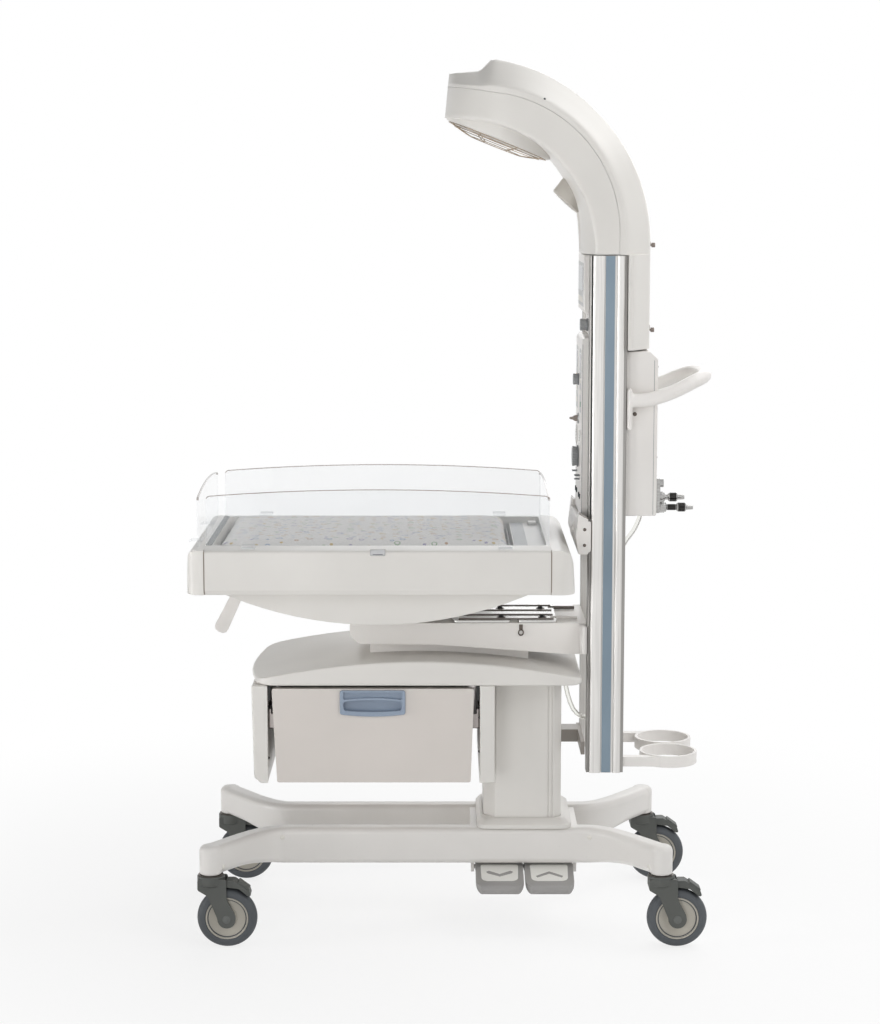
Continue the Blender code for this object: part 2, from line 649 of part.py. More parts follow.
PLATE_Z = (BEAM_TOP + GAP, BEAM_TOP + PLATE_T)
PIN_R = 0.008
PIN_HALF = 0.050 - GAP
plate_y = BEAM_Y - 0.003
plate = [(-0.180, -0.045, 0.006), (0.020, -0.045, 0.01), (0.030, -plate_y, 0.006), (0.150, -plate_y, 0.004),
         (0.150, -plate_y + 0.030, 0.004), (0.168, -plate_y + 0.030, 0.004), (0.168, -plate_y, 0.004),
         (0.250, -plate_y, 0.006)]
plate += [(x, -y, r) for x, y, r in plate[::-1]]
tilt_cradle = outline("tilt_cradle", rounded(plate, 2), PLATE_Z[0], PLATE_Z[1], "Z", STEEL)
yoke = [(TILT_X - 0.032, PLATE_Z[0] + 0.001, 0), (TILT_X + 0.032, PLATE_Z[0] + 0.001, 0),
        (TILT_X + 0.018, TILT_Z + 0.014, 0.014), (TILT_X - 0.018, TILT_Z + 0.014, 0.014)]
fuse(tilt_cradle, outline("yoke", rounded(yoke, 4), -0.030, 0.030, "Y"))
fuse(tilt_cradle, rod("tilt_pin", (TILT_X, -PIN_HALF, TILT_Z), (TILT_X, PIN_HALF, TILT_Z), PIN_R))
for i, y in enumerate((-0.060, 0.060)):
    rod_z = PLATE_Z[1] - 0.001
    rod_low, rod_high = [Vector((x, y, rod_z)) for x in GUIDE_ROD_X]
    fuse(tilt_cradle, rod("guide_rod_%d" % i, rod_low, rod_high, 0.0035, sides=12))


# Mast

STRIPE_X = (0.345, 0.364)
SLOT_X = (0.366, 0.371)


def mast_rail(name, side):
    x0, x1 = MAST_X
    y0, y1 = MAST_Y
    plan = [(x0, y0, 0.004), (x0, y1 - 0.004, 0.004), (x0 + 0.006, y1, 0.004),
            (STRIPE_X[0], y1, 0), (STRIPE_X[0], y1 - 0.002, 0), (STRIPE_X[1], y1 - 0.002, 0),
            (STRIPE_X[1], y1, 0), (SLOT_X[0], y1, 0), (SLOT_X[0], y1 - 0.008, 0), (SLOT_X[1], y1 - 0.008, 0),
            (SLOT_X[1], y1, 0),
            (x1 - 0.008, y1, 0.004), (x1, y1 - 0.008, 0.004), (x1, y0, 0.004)]
    points = [(x, side * y) for x, y in rounded(plan, 2)]
    return outline(name, points, MAST_Z[0], MAST_Z[1], "Z", SILVER)


mast_rail("mast_rail_near", -1)
mast_rail("mast_rail_far", 1)
box("mast_foot_bracket", (SLEEVE_X[1] + GAP, MAST_X[0] - GAP), (-MAST_Y[1] + 0.004, MAST_Y[1] - 0.004),
    BRACKET_Z, GREY, 0.003)

BETWEEN = MAST_Y[0] - GAP
PANEL_X = (0.302, 0.390)
KNOB_SHELF_X = 0.318
shelf_z = MODULE_Z[1] + 0.042
panel_side = [(KNOB_SHELF_X, MODULE_Z[1] + GAP, 0), (PANEL_X[1], MODULE_Z[1] + GAP, 0),
              (PANEL_X[1], MAST_Z[1], 0), (PANEL_X[0], MAST_Z[1], 0), (PANEL_X[0], shelf_z + 0.012, 0.006),
              (KNOB_SHELF_X, shelf_z, 0.004)]
outline("control_panel", rounded(panel_side, 3), -BETWEEN, BETWEEN, "Y", WHITE, 0.002, 1)
module_side = [(MODULE_X, MODULE_Z[0], 0.006), (PANEL_X[1], MODULE_Z[0], 0), (PANEL_X[1], MODULE_Z[1], 0),
               (MODULE_X, MODULE_Z[1], 0.010)]
outline("control_module", rounded(module_side, 3), -BETWEEN, BETWEEN, "Y", WHITE, 0.002, 1)

bar_low, bar_mid, bar_back, bar_top = FOOT_BAR_Z
bar_side = [(FOOT_BAR_X[1], bar_top, 0.003), (MAST_X[0] - GAP, bar_back, 0), (MAST_X[0] - GAP, bar_low, 0),
            (FOOT_BAR_X[1], bar_low, 0.004), (FOOT_BAR_X[0], bar_mid, 0.01)]
foot_y = MAST_Y[1] + 0.006
module_foot = outline("module_foot", rounded(bar_side, 3), -foot_y, foot_y, "Y", WHITE)
for side in (-1, 1):
    wing = [(FOOT_WING_X[0], FOOT_WING_Z[0], 0.003), (FOOT_WING_X[1], FOOT_WING_Z[0], 0.004),
            (FOOT_WING_X[1], FOOT_WING_Z[1], 0.004), (FOOT_WING_X[0], FOOT_WING_Z[2], 0.003)]
    low, high = sorted((side * (MAST_Y[1] + GAP), side * (foot_y - 0.0005)))
    fuse(module_foot, outline("foot_wing_%d" % side, rounded(wing, 2), low, high, "Y"))
cut(module_foot, box("module_seat", (MODULE_X - 0.009, MODULE_X + 0.041), (-BETWEEN - 0.004, BETWEEN + 0.004),
                     (MODULE_Z[0] - GAP, bar_top + 0.01)))
bulge_x, bulge_z = BULGE_AT
fuse(module_foot, rod("foot_bulge", (bulge_x, -BULGE_HALF, bulge_z), (bulge_x, BULGE_HALF, bulge_z), BULGE_R,
                      sides=28))
fuse(module_foot, box("foot_core", (bulge_x - 0.001, PANEL_X[1] - 0.002), (-BETWEEN + 0.002, BETWEEN - 0.002),
                      (bar_low + 0.009, MODULE_Z[0] - 0.002)))

GAS_Y = 0.110
gas_side = [(MAST_X[1] + GAP, GAS_Z[0], 0), (GAS_X, GAS_Z[0], 0.004), (GAS_X, GAS_Z[1] - 0.016, 0.003),
            (GAS_X - 0.018, GAS_Z[1], 0.003), (MAST_X[1] + GAP, GAS_Z[1], 0)]
gas_box = outline("gas_box", rounded(gas_side, 2), -GAS_Y, GAS_Y, "Y", WHITE, 0.003, 1)

HANDLE_Y = 0.126
arm = [(0.398, -HANDLE_Y, 1.146), (0.440, -HANDLE_Y, 1.148), (0.490, -HANDLE_Y + 0.002, 1.164),
       (0.535, -0.106, 1.184), (0.560, -0.066, 1.192), (HANDLE_END - HANDLE_D / 2.0, 0.0, 1.194)]
loop = smooth_path(arm + [(x, -y, z) for x, y, z in arm[-2::-1]], 3)
push_handle = tube("push_handle", loop, HANDLE_D / 2.0, WHITE, 2)
for side in (-1, 1):
    low, high = sorted((side * (GAS_Y + 0.001), side * MAST_Y[1]))
    plate_x = (MAST_X[1] + GAP, MAST_X[1] + GAP + HANDLE_PLATE_T)
    plate = box("handle_plate_%d" % side, plate_x, (low, high), HANDLE_PLATE_Z, bevel=0.003,
                segments=1)
    fuse(push_handle, plate)

INLET_Y = (-0.066, -0.030)
gas_inlets = box("gas_inlets", (GAS_X + GAP, GAS_X + 0.010), INLET_PLATE_Y, INLET_Z, STEEL,
                 0.002, 1)
for i, (y, z, end) in enumerate(((INLET_Y[0], 0.912, 0.541), (INLET_Y[1], 0.929, 0.526))):
    length = end - GAS_X
    stem = [(0.0, length), (0.005, length), (0.006, length - 0.014), (0.009, length - 0.016),
            (0.009, length - 0.034), (0.006, length - 0.036), (0.006, 0.026), (0.0105, 0.024), (0.0105, 0.005),
            (0.0, 0.005)]
    fuse(gas_inlets, turned("inlet_%d" % i, stem, (GAS_X, y, z), (1, 0, 0), steps=12))
fuse(gas_inlets, rod("inlet_valve", (GAS_X + 0.005, -0.050, 0.962), (GAS_X + 0.020, -0.050, 0.962), 0.009,
                     sides=16))

RING_X = 0.495
RING_Y = 0.065
RING_R = 0.062
RING_Z = (0.355, 0.380)
low, high = RING_Z
canister_rings = rod("canister_rings", (RING_X, -RING_Y, low), (RING_X, -RING_Y, high), RING_R, WHITE, 36)
fuse(canister_rings, rod("ring_far", (RING_X, RING_Y, low + 0.0001), (RING_X, RING_Y, high - 0.0001), RING_R,
                         sides=36))
fuse(canister_rings, box("ring_link", (RING_X - 0.024, RING_X + 0.024), (-0.030, 0.030),
                         (low + 0.003, high - 0.003)))
for side in (-1, 1):
    low, high = sorted((side * 0.102, side * 0.122))
    fuse(canister_rings, box("ring_arm_%d" % side, (MAST_X[1] + GAP, RING_X - 0.020), (low, high),
                             (RING_Z[0] + 0.002, RING_Z[1] - 0.002)))
for side in (-1, 1):
    centre = Vector((RING_X, side * RING_Y, RING_Z[0]))
    through = Vector((0.0, 0.0, 0.05))
    cut(canister_rings, rod("ring_hole_%d" % side, centre - through, centre + through, RING_R - 0.006,
                            sides=36))

hose_top = GAS_Z[0] - GAP
hose_end = CAB_LOW - GAP
hose = [(0.434, 0.0, hose_top - 0.005), (0.432, 0.0, hose_top - 0.020), (0.420, 0.0, 0.852),
        (0.398, 0.0, 0.820), (0.372, 0.0, 0.760), (0.366, 0.0, 0.640), (0.362, 0.0, 0.520),
        (0.345, 0.0, 0.458), (0.318, 0.0, 0.438),
        (0.292, 0.0, 0.456), (0.276, 0.0, 0.505), (0.274, 0.0, hose_end - 0.005)]
hose_path = [(0.434, 0.0, hose_top)] + smooth_path(hose, 3) + [(0.274, 0.0, hose_end)]
tube("supply_hose", hose_path, 0.005, CLEAR, 1)


# Controls on the mast

def knob(name, z, radius, front, back, ribs, y=0.0):
    """Round knob with a ribbed edge, its origin on the shaft."""
    base, tip = back - GAP, front
    ring = []
    for k in range(ribs * 2):
        r = radius if k % 2 == 0 else radius * 0.93
        a = math.pi * k / ribs
        ring.append((y + r * math.cos(a), z + r * math.sin(a)))
    ob = outline(name, ring, tip, base, "X", GREY)
    return seat(ob, (base, y, z))


knob("knob_upper", 1.298, 0.014, 0.300, KNOB_SHELF_X, 10)
knob("knob_dial", 1.181, 0.013, 0.286, MODULE_X, 10)
knob("knob_lower", 1.0145, 0.0235, 0.285, MODULE_X, 12)
TOGGLE_R = 0.0065
toggle_x, toggle_z = MODULE_X - TOGGLE_R - GAP, 1.097
hub = [(toggle_x + TOGGLE_R * math.cos(a), toggle_z + TOGGLE_R * math.sin(a))
       for a in (math.radians(-150.0 + 30.0 * k) for k in range(11))]
tip = [(toggle_x - 0.013, toggle_z + 0.002), (toggle_x - 0.013, toggle_z - 0.002)]
seat(outline("toggle_lever", hub + tip, -0.006, 0.006, "Y", GREY), (toggle_x, 0.0, toggle_z))


# Heater arch

HEAD_STEPS = 7
BEND_STEPS = 12


class Edge:
    """Side view line of the arch: straight head, round bend, straight drop to the mast."""

    def __init__(self, start, radius, drop_x):
        self.start = Vector(start)
        self.along = Vector((math.cos(HEAD_SLOPE), -math.sin(HEAD_SLOPE)))
        corner = self.start + self.along * ((drop_x - start[0]) / self.along.x)
        self.bend = math.pi / 2.0 - HEAD_SLOPE
        reach = radius * math.tan(self.bend / 2.0)
        self.head = (corner - self.start).length - reach
        self.centre = Vector((drop_x - radius, corner.y - reach))
        self.radius = radius
        self.drop_x = drop_x
        self.length = self.head + radius * self.bend + self.centre.y - ARCH_FOOT

    def at(self, distance):
        if distance <= self.head:
            return self.start + self.along * distance
        angle = (distance - self.head) / self.radius
        if angle <= self.bend:
            turn = math.pi / 2.0 - HEAD_SLOPE - angle
            return self.centre + Vector((math.cos(turn), math.sin(turn))) * self.radius
        return Vector((self.drop_x, self.centre.y - (angle - self.bend) * self.radius))


RIM = Edge(RIM_START, RIM_R, RIM_X)
SEAM = Edge(SEAM_START, SEAM_R, SEAM_X)
TOP = Edge(TOP_START, TOP_R, TOP_X)
FRONT_DROP = 0.043
LIP_DROP = 0.030
LIP_RUN = 0.059
LIP_RISE = 0.036
UNDER_BULGE = 0.026
COVER_SIDE = ((0.0, 1.0), (0.24, 0.985), (0.80, 0.66), (0.95, 0.56), (1.0, 0.40))


def arch_stations():
    """Share along the arch and half width: a round nose in plan, then the even bend."""
    nose = [math.radians(8.0 + 82.0 * k / HEAD_STEPS) for k in range(HEAD_STEPS + 1)]
    rows = [(ARCH_W * (1.0 - math.cos(a)), None, ARCH_W * math.sin(a)) for a in nose]
    return rows + [(ARCH_W, k / BEND_STEPS, ARCH_W) for k in range(1, BEND_STEPS + 1)]


def along_edge(edge, near, share):
    return near if share is None else near + (edge.length - near) * share


def shell_section(near, share, half):
    rim, seam = (e.at(along_edge(e, near, share)) for e in (RIM, SEAM))
    up = (seam - rim).normalized()
    bulge = UNDER_BULGE * ease((along_edge(RIM, near, share) - 0.20) / 0.12)
    low = rim - up * bulge
    mid = rim - up * bulge * 0.55
    lift = rim + up * 0.012
    near_side = [(seam, 1.0), (lift, 1.0), (rim, 0.93), (mid, 0.70), (low, 0.36)]
    row = [(spot.x, -half * w, spot.y) for spot, w in near_side]
    return row + [(x, -y, z) for x, y, z in row[::-1]]


def front_drop(reach):
    """How far the cover lies below its top line: a low front lip, then a quick rise to the hump."""
    if reach < LIP_RUN:
        return LIP_DROP + (FRONT_DROP - LIP_DROP) * (1.0 - reach / LIP_RUN)
    return LIP_DROP * (1.0 - ease((reach - LIP_RUN) / LIP_RISE))


def cover_section(near, share, half):
    seam = SEAM.at(along_edge(SEAM, near, share))
    reach = along_edge(TOP, near, share)
    top = TOP.at(reach)
    top.y -= front_drop(reach)
    up = (top - seam).normalized()
    seam = seam + up * GAP
    rise = top - seam
    near_side = [(seam + rise * share_up, w) for share_up, w in COVER_SIDE]
    row = [(spot.x, -half * w, spot.y) for spot, w in near_side]
    return row + [(x, -y, z) for x, y, z in row[::-1]]


def rear_section(z):
    """Section of the straight rear cover behind the mast rails."""
    base = MAST_X[1] + GAP
    rise = TOP_X - base
    row = [(base + rise * share_up, -ARCH_W * w, z) for share_up, w in COVER_SIDE]
    return row + [(x, -y, z) for x, y, z in row[::-1]]


stations = arch_stations()
arch_shell = loft("arch_shell", [shell_section(*row) for row in stations], WHITE)
cover_rows = [cover_section(*row) for row in stations]
loft("arch_cover", cover_rows + [rear_section(MAST_Z[1] + 0.0005), rear_section(GAS_Z[1] + 0.004)], WHITE)

HEAT_DOWN = Vector((-math.sin(HEATER_TILT), 0.0, -math.cos(HEATER_TILT)))
HEAT_AT = Vector((RIM_START[0] + HEATER_OFFSET[0], 0.0, RIM_START[1] + HEATER_OFFSET[1]))
BEZEL_R = HEATER_R + 0.010
REFLECT_TOP = 0.052
BEZEL_DEPTH = 0.042
bezel_side = [(0.0, -0.0002), (BEZEL_R - 0.002, -0.0002), (BEZEL_R, -0.002), (BEZEL_R + 0.006, -BEZEL_DEPTH),
              (0.0, -BEZEL_DEPTH)]
fuse(arch_shell, turned("heater_bezel", bezel_side, HEAT_AT, HEAT_DOWN, steps=32))
room_side = [(0.0, 0.020), (HEATER_R, 0.020), (HEATER_R, -REFLECT_TOP), (0.0, -REFLECT_TOP)]
cut(arch_shell, turned("heater_room", room_side, HEAT_AT, HEAT_DOWN, steps=32))


def bowl(r):
    """Depth of the reflector bowl below its rim."""
    return 0.038 * (1.0 - (r / (HEATER_R - 0.004)) ** 2)


BOWL_RIM = -0.008
out_r = HEATER_R - GAP
bowl_radii = [(HEATER_R - 0.004) * k / 6.0 for k in range(7)]
inside = [(r, BOWL_RIM - bowl(r)) for r in bowl_radii]
back = -REFLECT_TOP + GAP
outside = [(out_r, BOWL_RIM), (out_r, back), (0.0, back)]
turned("heater_reflector", inside + outside, HEAT_AT, HEAT_DOWN, STEEL, 32)

ELEMENT_R = 0.062
ELEMENT_T = 0.0045
ELEMENT_H = -0.016
circle = [(ELEMENT_R + ELEMENT_T * math.cos(a), ELEMENT_H + ELEMENT_T * math.sin(a))
          for a in (math.pi / 2.0 - math.pi * k / 3.0 for k in range(7))]
heater_element = turned("heater_element", circle, HEAT_AT, HEAT_DOWN, GREY, 24)
frame = HEAT_DOWN.to_track_quat("Z", "Y").to_matrix()
for i in range(3):
    a = 2.0 * math.pi * i / 3.0
    foot = Vector((ELEMENT_R * math.cos(a), ELEMENT_R * math.sin(a), ELEMENT_H))
    seat_z = BOWL_RIM - bowl(ELEMENT_R + 0.003) + GAP
    head = Vector((foot.x, foot.y, seat_z))
    fuse(heater_element, rod("element_post_%d" % i, HEAT_AT + frame @ foot, HEAT_AT + frame @ head, 0.0025,
                             sides=8))

GUARD_R = HEATER_R + 0.004
GUARD_WIRE = 0.0026
GUARD_SAG = 0.016
spokes, rings = 14, 4
spots = [(0.0, 0.0, GUARD_SAG)]
for k in range(1, rings + 1):
    r = GUARD_R * k / rings
    z = GUARD_SAG * (1.0 - (k / rings) ** 2)
    turns = [2.0 * math.pi * s / spokes for s in range(spokes)]
    spots += [(r * math.cos(a), r * math.sin(a), z) for a in turns]
cells = [[0, 1 + s, 1 + (s + 1) % spokes] for s in range(spokes)]
for k in range(rings - 1):
    for s in range(spokes):
        n = (s + 1) % spokes
        inner, outer = 1 + k * spokes, 1 + (k + 1) * spokes
        cells.append([inner + s, outer + s, outer + n, inner + n])
mesh = bpy.data.meshes.new("heater_guard")
mesh.from_pydata(spots, [], cells)
heater_guard = from_mesh("heater_guard", mesh, STEEL)
wires = heater_guard.modifiers.new("Wireframe", "WIREFRAME")
wires.thickness = GUARD_WIRE
wires.use_even_offset = False
wires.use_boundary = True
heater_guard.location = HEAT_AT + HEAT_DOWN * (GUARD_WIRE * 0.38 + GAP)
heater_guard.rotation_mode = "QUATERNION"
heater_guard.rotation_quaternion = HEAT_DOWN.to_track_quat("Z", "Y")

lamp_out = RIM_R - LAMP_SINK
LAMP_AT = Vector((RIM.centre.x + lamp_out * math.cos(LAMP_ANGLE), 0.0,
                  RIM.centre.y + lamp_out * math.sin(LAMP_ANGLE)))
LAMP_AIM = Vector((-0.675, 0.0, -0.738)).normalized()
BALL_R = 0.038
ball = [(BALL_R * math.sin(a), -BALL_R * math.cos(a)) for a in (math.pi * k / 14.0 for k in range(8))]
nose = [(0.0, 0.030), (0.033, 0.030), (0.0358, 0.0272), (BALL_R - 0.0012, 0.010)]
turned("exam_light", nose + ball[::-1], LAMP_AT, LAMP_AIM, GREY, 20)
grown = [(r * (1.0 + 2.0 * GAP / BALL_R), h * (1.0 + 2.0 * GAP / BALL_R)) for r, h in ball]
mouth = [(0.0, 0.080), (0.095, 0.080), (grown[-1][0], 0.001)]
cut(arch_shell, turned("lamp_socket", mouth + grown[::-1], LAMP_AT, LAMP_AIM, steps=20))


# Bed

SKIRT_TOP = BED_RIM - 0.005
half_pan = [(BED_Y - 0.003, BED_LOW, 0.003), (BED_Y, BED_LOW + 0.010, 0.006), (BED_Y, SKIRT_TOP, 0.006),
            (RECESS_Y + 0.012, BED_RIM, 0)]
pan_side = [(-y, z, r) for y, z, r in half_pan] + half_pan[::-1]
bed_pan = outline("bed_pan", rounded(pan_side, 2), BED_X[0], BED_X[1], "X", WHITE)
belly_z = BELLY_LOW + BELLY_R
span = math.acos((belly_z - BED_LOW - 0.004) / BELLY_R)
belly = [(TILT_X + BELLY_R * math.sin(a), belly_z - BELLY_R * math.cos(a))
         for a in (span * (k / 10.0 - 1.0) for k in range(21))]
belly_top = BED_FLOOR - 0.020
belly += [(belly[-1][0], belly_top), (belly[0][0], belly_top)]
fuse(bed_pan, outline("belly", belly, -BELLY_Y, BELLY_Y, "Y", bevel=0.012, segments=2))


def basin(grow):
    x0, x1 = RECESS_X
    y = RECESS_Y + grow
    return rounded([(x0, -y, 0.02), (x1, -y, 0.012), (x1, y, 0.012), (x0, y, 0.02)], 3)


cut(bed_pan, outline("basin_top", basin(0.0), LEDGE_Z, BED_RIM + 0.02, "Z"))
well = rounded([(RECESS_X[0], -RECESS_Y, 0.02), (LEDGE_X, -RECESS_Y, 0.012), (LEDGE_X, RECESS_Y, 0.012),
                (RECESS_X[0], RECESS_Y, 0.02)], 3)
cut(bed_pan, outline("basin_well", well, BED_FLOOR, LEDGE_Z + 0.001, "Z"))
cut(bed_pan, box("yoke_room", (TILT_X - 0.060, TILT_X + 0.060), (-PIN_HALF - GAP, PIN_HALF + GAP),
                 (BELLY_LOW - 0.020, TILT_Z + 0.052)))

LATCH_Y = (-BED_Y - 0.002, -BED_Y + 0.012)
LATCH_Z = (LATCH_LOW, SKIRT_TOP + 0.002)
cut(bed_pan, box("latch_notch", (LATCH_X[0] - GAP, LATCH_X[1] + GAP), (-BED_Y - 0.02, LATCH_Y[1] + 0.004),
                 (LATCH_Z[0] - GAP, BED_RIM + 0.01)))
side_latch = box("side_latch", LATCH_X, LATCH_Y, LATCH_Z, GREY, 0.0015, 1)
seat(side_latch, ((LATCH_X[0] + LATCH_X[1]) / 2.0, LATCH_Y[0], LATCH_Z[0]))

LEVER_LEAN = math.atan2(0.060, 0.120)
down = Vector((-math.sin(LEVER_LEAN), -math.cos(LEVER_LEAN)))
wide = Vector((-down.y, down.x))
lever_shape = []
for along, across, r in ((-0.010, -0.010, 0.009), (-0.010, 0.010, 0.009), (0.030, 0.011, 0.01),
                         (LEVER_LEN, 0.0155, 0.012), (LEVER_LEN, -0.0155, 0.012), (0.030, -0.013, 0.01)):
    spot = Vector(LEVER_AT) + down * along + wide * across
    lever_shape.append((spot.x, spot.y, r))
tilt_lever = outline("tilt_lever", rounded(lever_shape, 4), -LEVER_HALF, LEVER_HALF, "Y", WHITE, 0.004)
seat(tilt_lever, (LEVER_AT[0], 0.0, LEVER_AT[1]))
lever_gap = LEVER_HALF + GAP
cut(bed_pan, box("lever_slot", (LEVER_AT[0] - 0.036, LEVER_AT[0] + 0.026), (-lever_gap, lever_gap),
                 (LEVER_AT[1] - 0.052, LEVER_AT[1] + 0.016)))

foot_in = BED_X[0] - GAP
cap_plan = rounded([(foot_in, -BED_Y, 0), (foot_in, BED_Y, 0), (FOOT_CAP_X, BED_Y, 0.030),
                    (FOOT_CAP_X, -BED_Y, 0.030)], 5)
cap_top = SKIRT_TOP + 0.001
FOOT_SHOULDER = 0.015
HEAD_SHOULDER = 0.030
foot_cap_side = [(foot_in + 0.01, BED_LOW, 0), (foot_in + 0.01, cap_top, 0),
                 (FOOT_CAP_X + 0.004, cap_top, FOOT_SHOULDER),
                 (FOOT_CAP_X - 0.001, BED_LOW, 0.003)]
bed_cap_foot = outline("bed_cap_foot", cap_plan, BED_LOW - 0.01, cap_top + 0.01, "Z", WHITE)
keep(bed_cap_foot, outline("cap_foot_side", rounded(foot_cap_side, 4), -BED_Y - 0.01, BED_Y + 0.01, "Y"))
head_in = BED_X[1] + GAP
head_plan = rounded([(head_in, -BED_Y, 0), (HEAD_CAP_X, -BED_Y, 0.030), (HEAD_CAP_X, BED_Y, 0.030),
                     (head_in, BED_Y, 0)], 5)
head_cap_side = [(head_in - 0.01, BED_LOW, 0), (HEAD_CAP_X + 0.0005, BED_LOW, 0.003),
                 (HEAD_CAP_X - 0.006, cap_top, HEAD_SHOULDER), (head_in - 0.01, cap_top, 0)]
bed_cap_head = outline("bed_cap_head", head_plan, BED_LOW - 0.01, cap_top + 0.01, "Z", WHITE)
keep(bed_cap_head, outline("cap_head_side", rounded(head_cap_side, 4), -BED_Y - 0.01, BED_Y + 0.01, "Y"))

MAT_RINGS = ((0.0, 0.007, 0.03), (0.006, 0.001, 0.03), (0.022, 0.0, 0.03), (0.038, 0.003, 0.03),
             (0.0465, 0.010, 0.03), (0.0515, 0.028, 0.04), (0.0545, 0.070, 0.05), (0.0563, 0.130, 0.03))


def mattress_ring(height, inset, radius):
    x0, x1 = MAT_X[0] + inset, MAT_X[1] - inset
    y = MAT_Y - inset
    shape = rounded([(x0, -y, radius), (x1, -y, radius), (x1, y, radius), (x0, y, radius)], 6)
    return [(a, b, BED_FLOOR + GAP + height) for a, b in shape]


loft("mattress", [mattress_ring(*row) for row in MAT_RINGS], FOAM)


# Clear walls of the bed

def wall_shape(low, high, foot, end_h, mid_h, round_end):
    """Wall with an arched top edge between two ends."""
    mid, half = (low + high) / 2.0, (high - low) / 2.0
    places = [1.0 - k / 8.0 for k in range(1, 16)]
    top = [(mid + half * t, foot + mid_h - (mid_h - end_h) * t ** 2) for t in places]
    corner = [(low, foot, 0), (high, foot, 0), (high, foot + end_h, round_end)]
    return rounded(corner + [(a, b, 0) for a, b in top] + [(low, foot + end_h, round_end)], 4)


WALL_FOOT = BED_RIM + GAP
TAB_T = 0.004
AXIS_Z = WALL_FOOT + TAB_T / 2.0
SIDE_AXIS_Y = BED_Y + KNUCKLE_R + GAP
SIDE_X = (-0.486, 0.227)
SIDE_TABS = (-0.410, 0.120)
FOOT_AXIS_X = FOOT_CAP_X - KNUCKLE_R - GAP
FOOT_PANEL_X = (FOOT_CAP_X + 0.0195, FOOT_CAP_X + 0.0195 + PANEL_T)
FOOT_TABS = (-0.140, 0.110)
TAB_W = 0.030


def side_wall(name, side):
    low, high = sorted((side * (PANEL_Y - PANEL_T / 2.0), side * (PANEL_Y + PANEL_T / 2.0)))
    shape = wall_shape(SIDE_X[0], SIDE_X[1], WALL_FOOT, PANEL_END_H, PANEL_MID_H, 0.018)
    wall = outline(name, shape, low, high, "Y", CLEAR)
    for i, x in enumerate(SIDE_TABS):
        tab_y = sorted((side * (PANEL_Y - 0.001), side * SIDE_AXIS_Y))
        fuse(wall, box("%s_tab_%d" % (name, i), (x, x + TAB_W), tab_y,
                       (WALL_FOOT + 0.0004, WALL_FOOT + TAB_T)))
        knuckle = ((x + 0.0006, side * SIDE_AXIS_Y, AXIS_Z), (x + TAB_W - 0.0006, side * SIDE_AXIS_Y, AXIS_Z))
        fuse(wall, rod("%s_knuckle_%d" % (name, i), *knuckle, KNUCKLE_R, sides=12))
    return seat(wall, (0.0, side * SIDE_AXIS_Y, AXIS_Z))


side_wall("panel_near", -1)
side_wall("panel_far", 1)
end_y = PANEL_Y - PANEL_T / 2.0 - 0.0005
END_FOOT = cap_top + GAP
END_AXIS_Z = END_FOOT + TAB_T / 2.0
foot_shape = wall_shape(-end_y, end_y, END_FOOT, PANEL_END_H, PANEL_MID_H, 0.018)
panel_foot = outline("panel_foot", foot_shape, FOOT_PANEL_X[0], FOOT_PANEL_X[1], "X", CLEAR)
for i, y in enumerate(FOOT_TABS):
    fuse(panel_foot, box("foot_tab_%d" % i, (FOOT_AXIS_X, FOOT_PANEL_X[1] - 0.001), (y, y + TAB_W),
                         (END_FOOT + 0.0004, END_FOOT + TAB_T)))
    fuse(panel_foot, rod("foot_knuckle_%d" % i, (FOOT_AXIS_X, y + 0.0006, END_AXIS_Z),
                         (FOOT_AXIS_X, y + TAB_W - 0.0006, END_AXIS_Z), KNUCKLE_R, sides=12))
seat(panel_foot, (FOOT_AXIS_X, 0.0, END_AXIS_Z))
outline("panel_head", wall_shape(-end_y, end_y, WALL_FOOT, PANEL_END_H - 0.004, PANEL_END_H + 0.006, 0.018),
        RECESS_X[1] + 0.0015, RECESS_X[1] + 0.0015 + PANEL_T, "X", CLEAR)
seat(bed_pan, (TILT_X, 0.0, TILT_Z))

RIDES = {
    "drawer": ["drawer_handle"],
    "bed_pan": ["bed_cap_foot", "bed_cap_head", "mattress", "panel_near", "panel_far", "panel_foot",
                "panel_head", "side_latch", "tilt_lever"],
}


# Everything that hangs on a moving piece rides with it; then the whole object is centred

bpy.context.view_layer.update()
for carrier, riders in RIDES.items():
    for rider in riders:
        child, owner = bpy.data.objects[rider], bpy.data.objects[carrier]
        child.parent = owner
        child.matrix_parent_inverse = owner.matrix_world.inverted()
for ob in list(PARTS.objects) + list(TOOLS.objects):
    if ob.parent is None:
        ob.location.x += SHIFT_X
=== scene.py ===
"""Looks of the infant radiant warmer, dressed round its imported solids."""

import json
import math

import bmesh
import bpy
from mathutils import Matrix, Vector


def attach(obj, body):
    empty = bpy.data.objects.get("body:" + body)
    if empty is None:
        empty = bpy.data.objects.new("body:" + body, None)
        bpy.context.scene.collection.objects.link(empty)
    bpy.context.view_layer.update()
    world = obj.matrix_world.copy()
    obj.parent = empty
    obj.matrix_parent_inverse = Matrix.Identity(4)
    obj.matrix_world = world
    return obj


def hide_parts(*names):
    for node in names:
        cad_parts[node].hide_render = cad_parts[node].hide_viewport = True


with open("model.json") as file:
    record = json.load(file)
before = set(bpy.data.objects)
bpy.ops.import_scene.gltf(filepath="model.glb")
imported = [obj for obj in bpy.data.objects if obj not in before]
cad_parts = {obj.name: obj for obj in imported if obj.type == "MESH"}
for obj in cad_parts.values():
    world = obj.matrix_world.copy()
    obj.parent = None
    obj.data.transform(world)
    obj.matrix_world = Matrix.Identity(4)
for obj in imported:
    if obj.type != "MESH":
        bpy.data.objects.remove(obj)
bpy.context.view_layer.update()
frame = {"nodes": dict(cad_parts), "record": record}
SHIFT = -0.02565
NODE_BODY = {n: b for b, ns in frame["record"]["behaviour"]["bodies"].items() for n in ns}


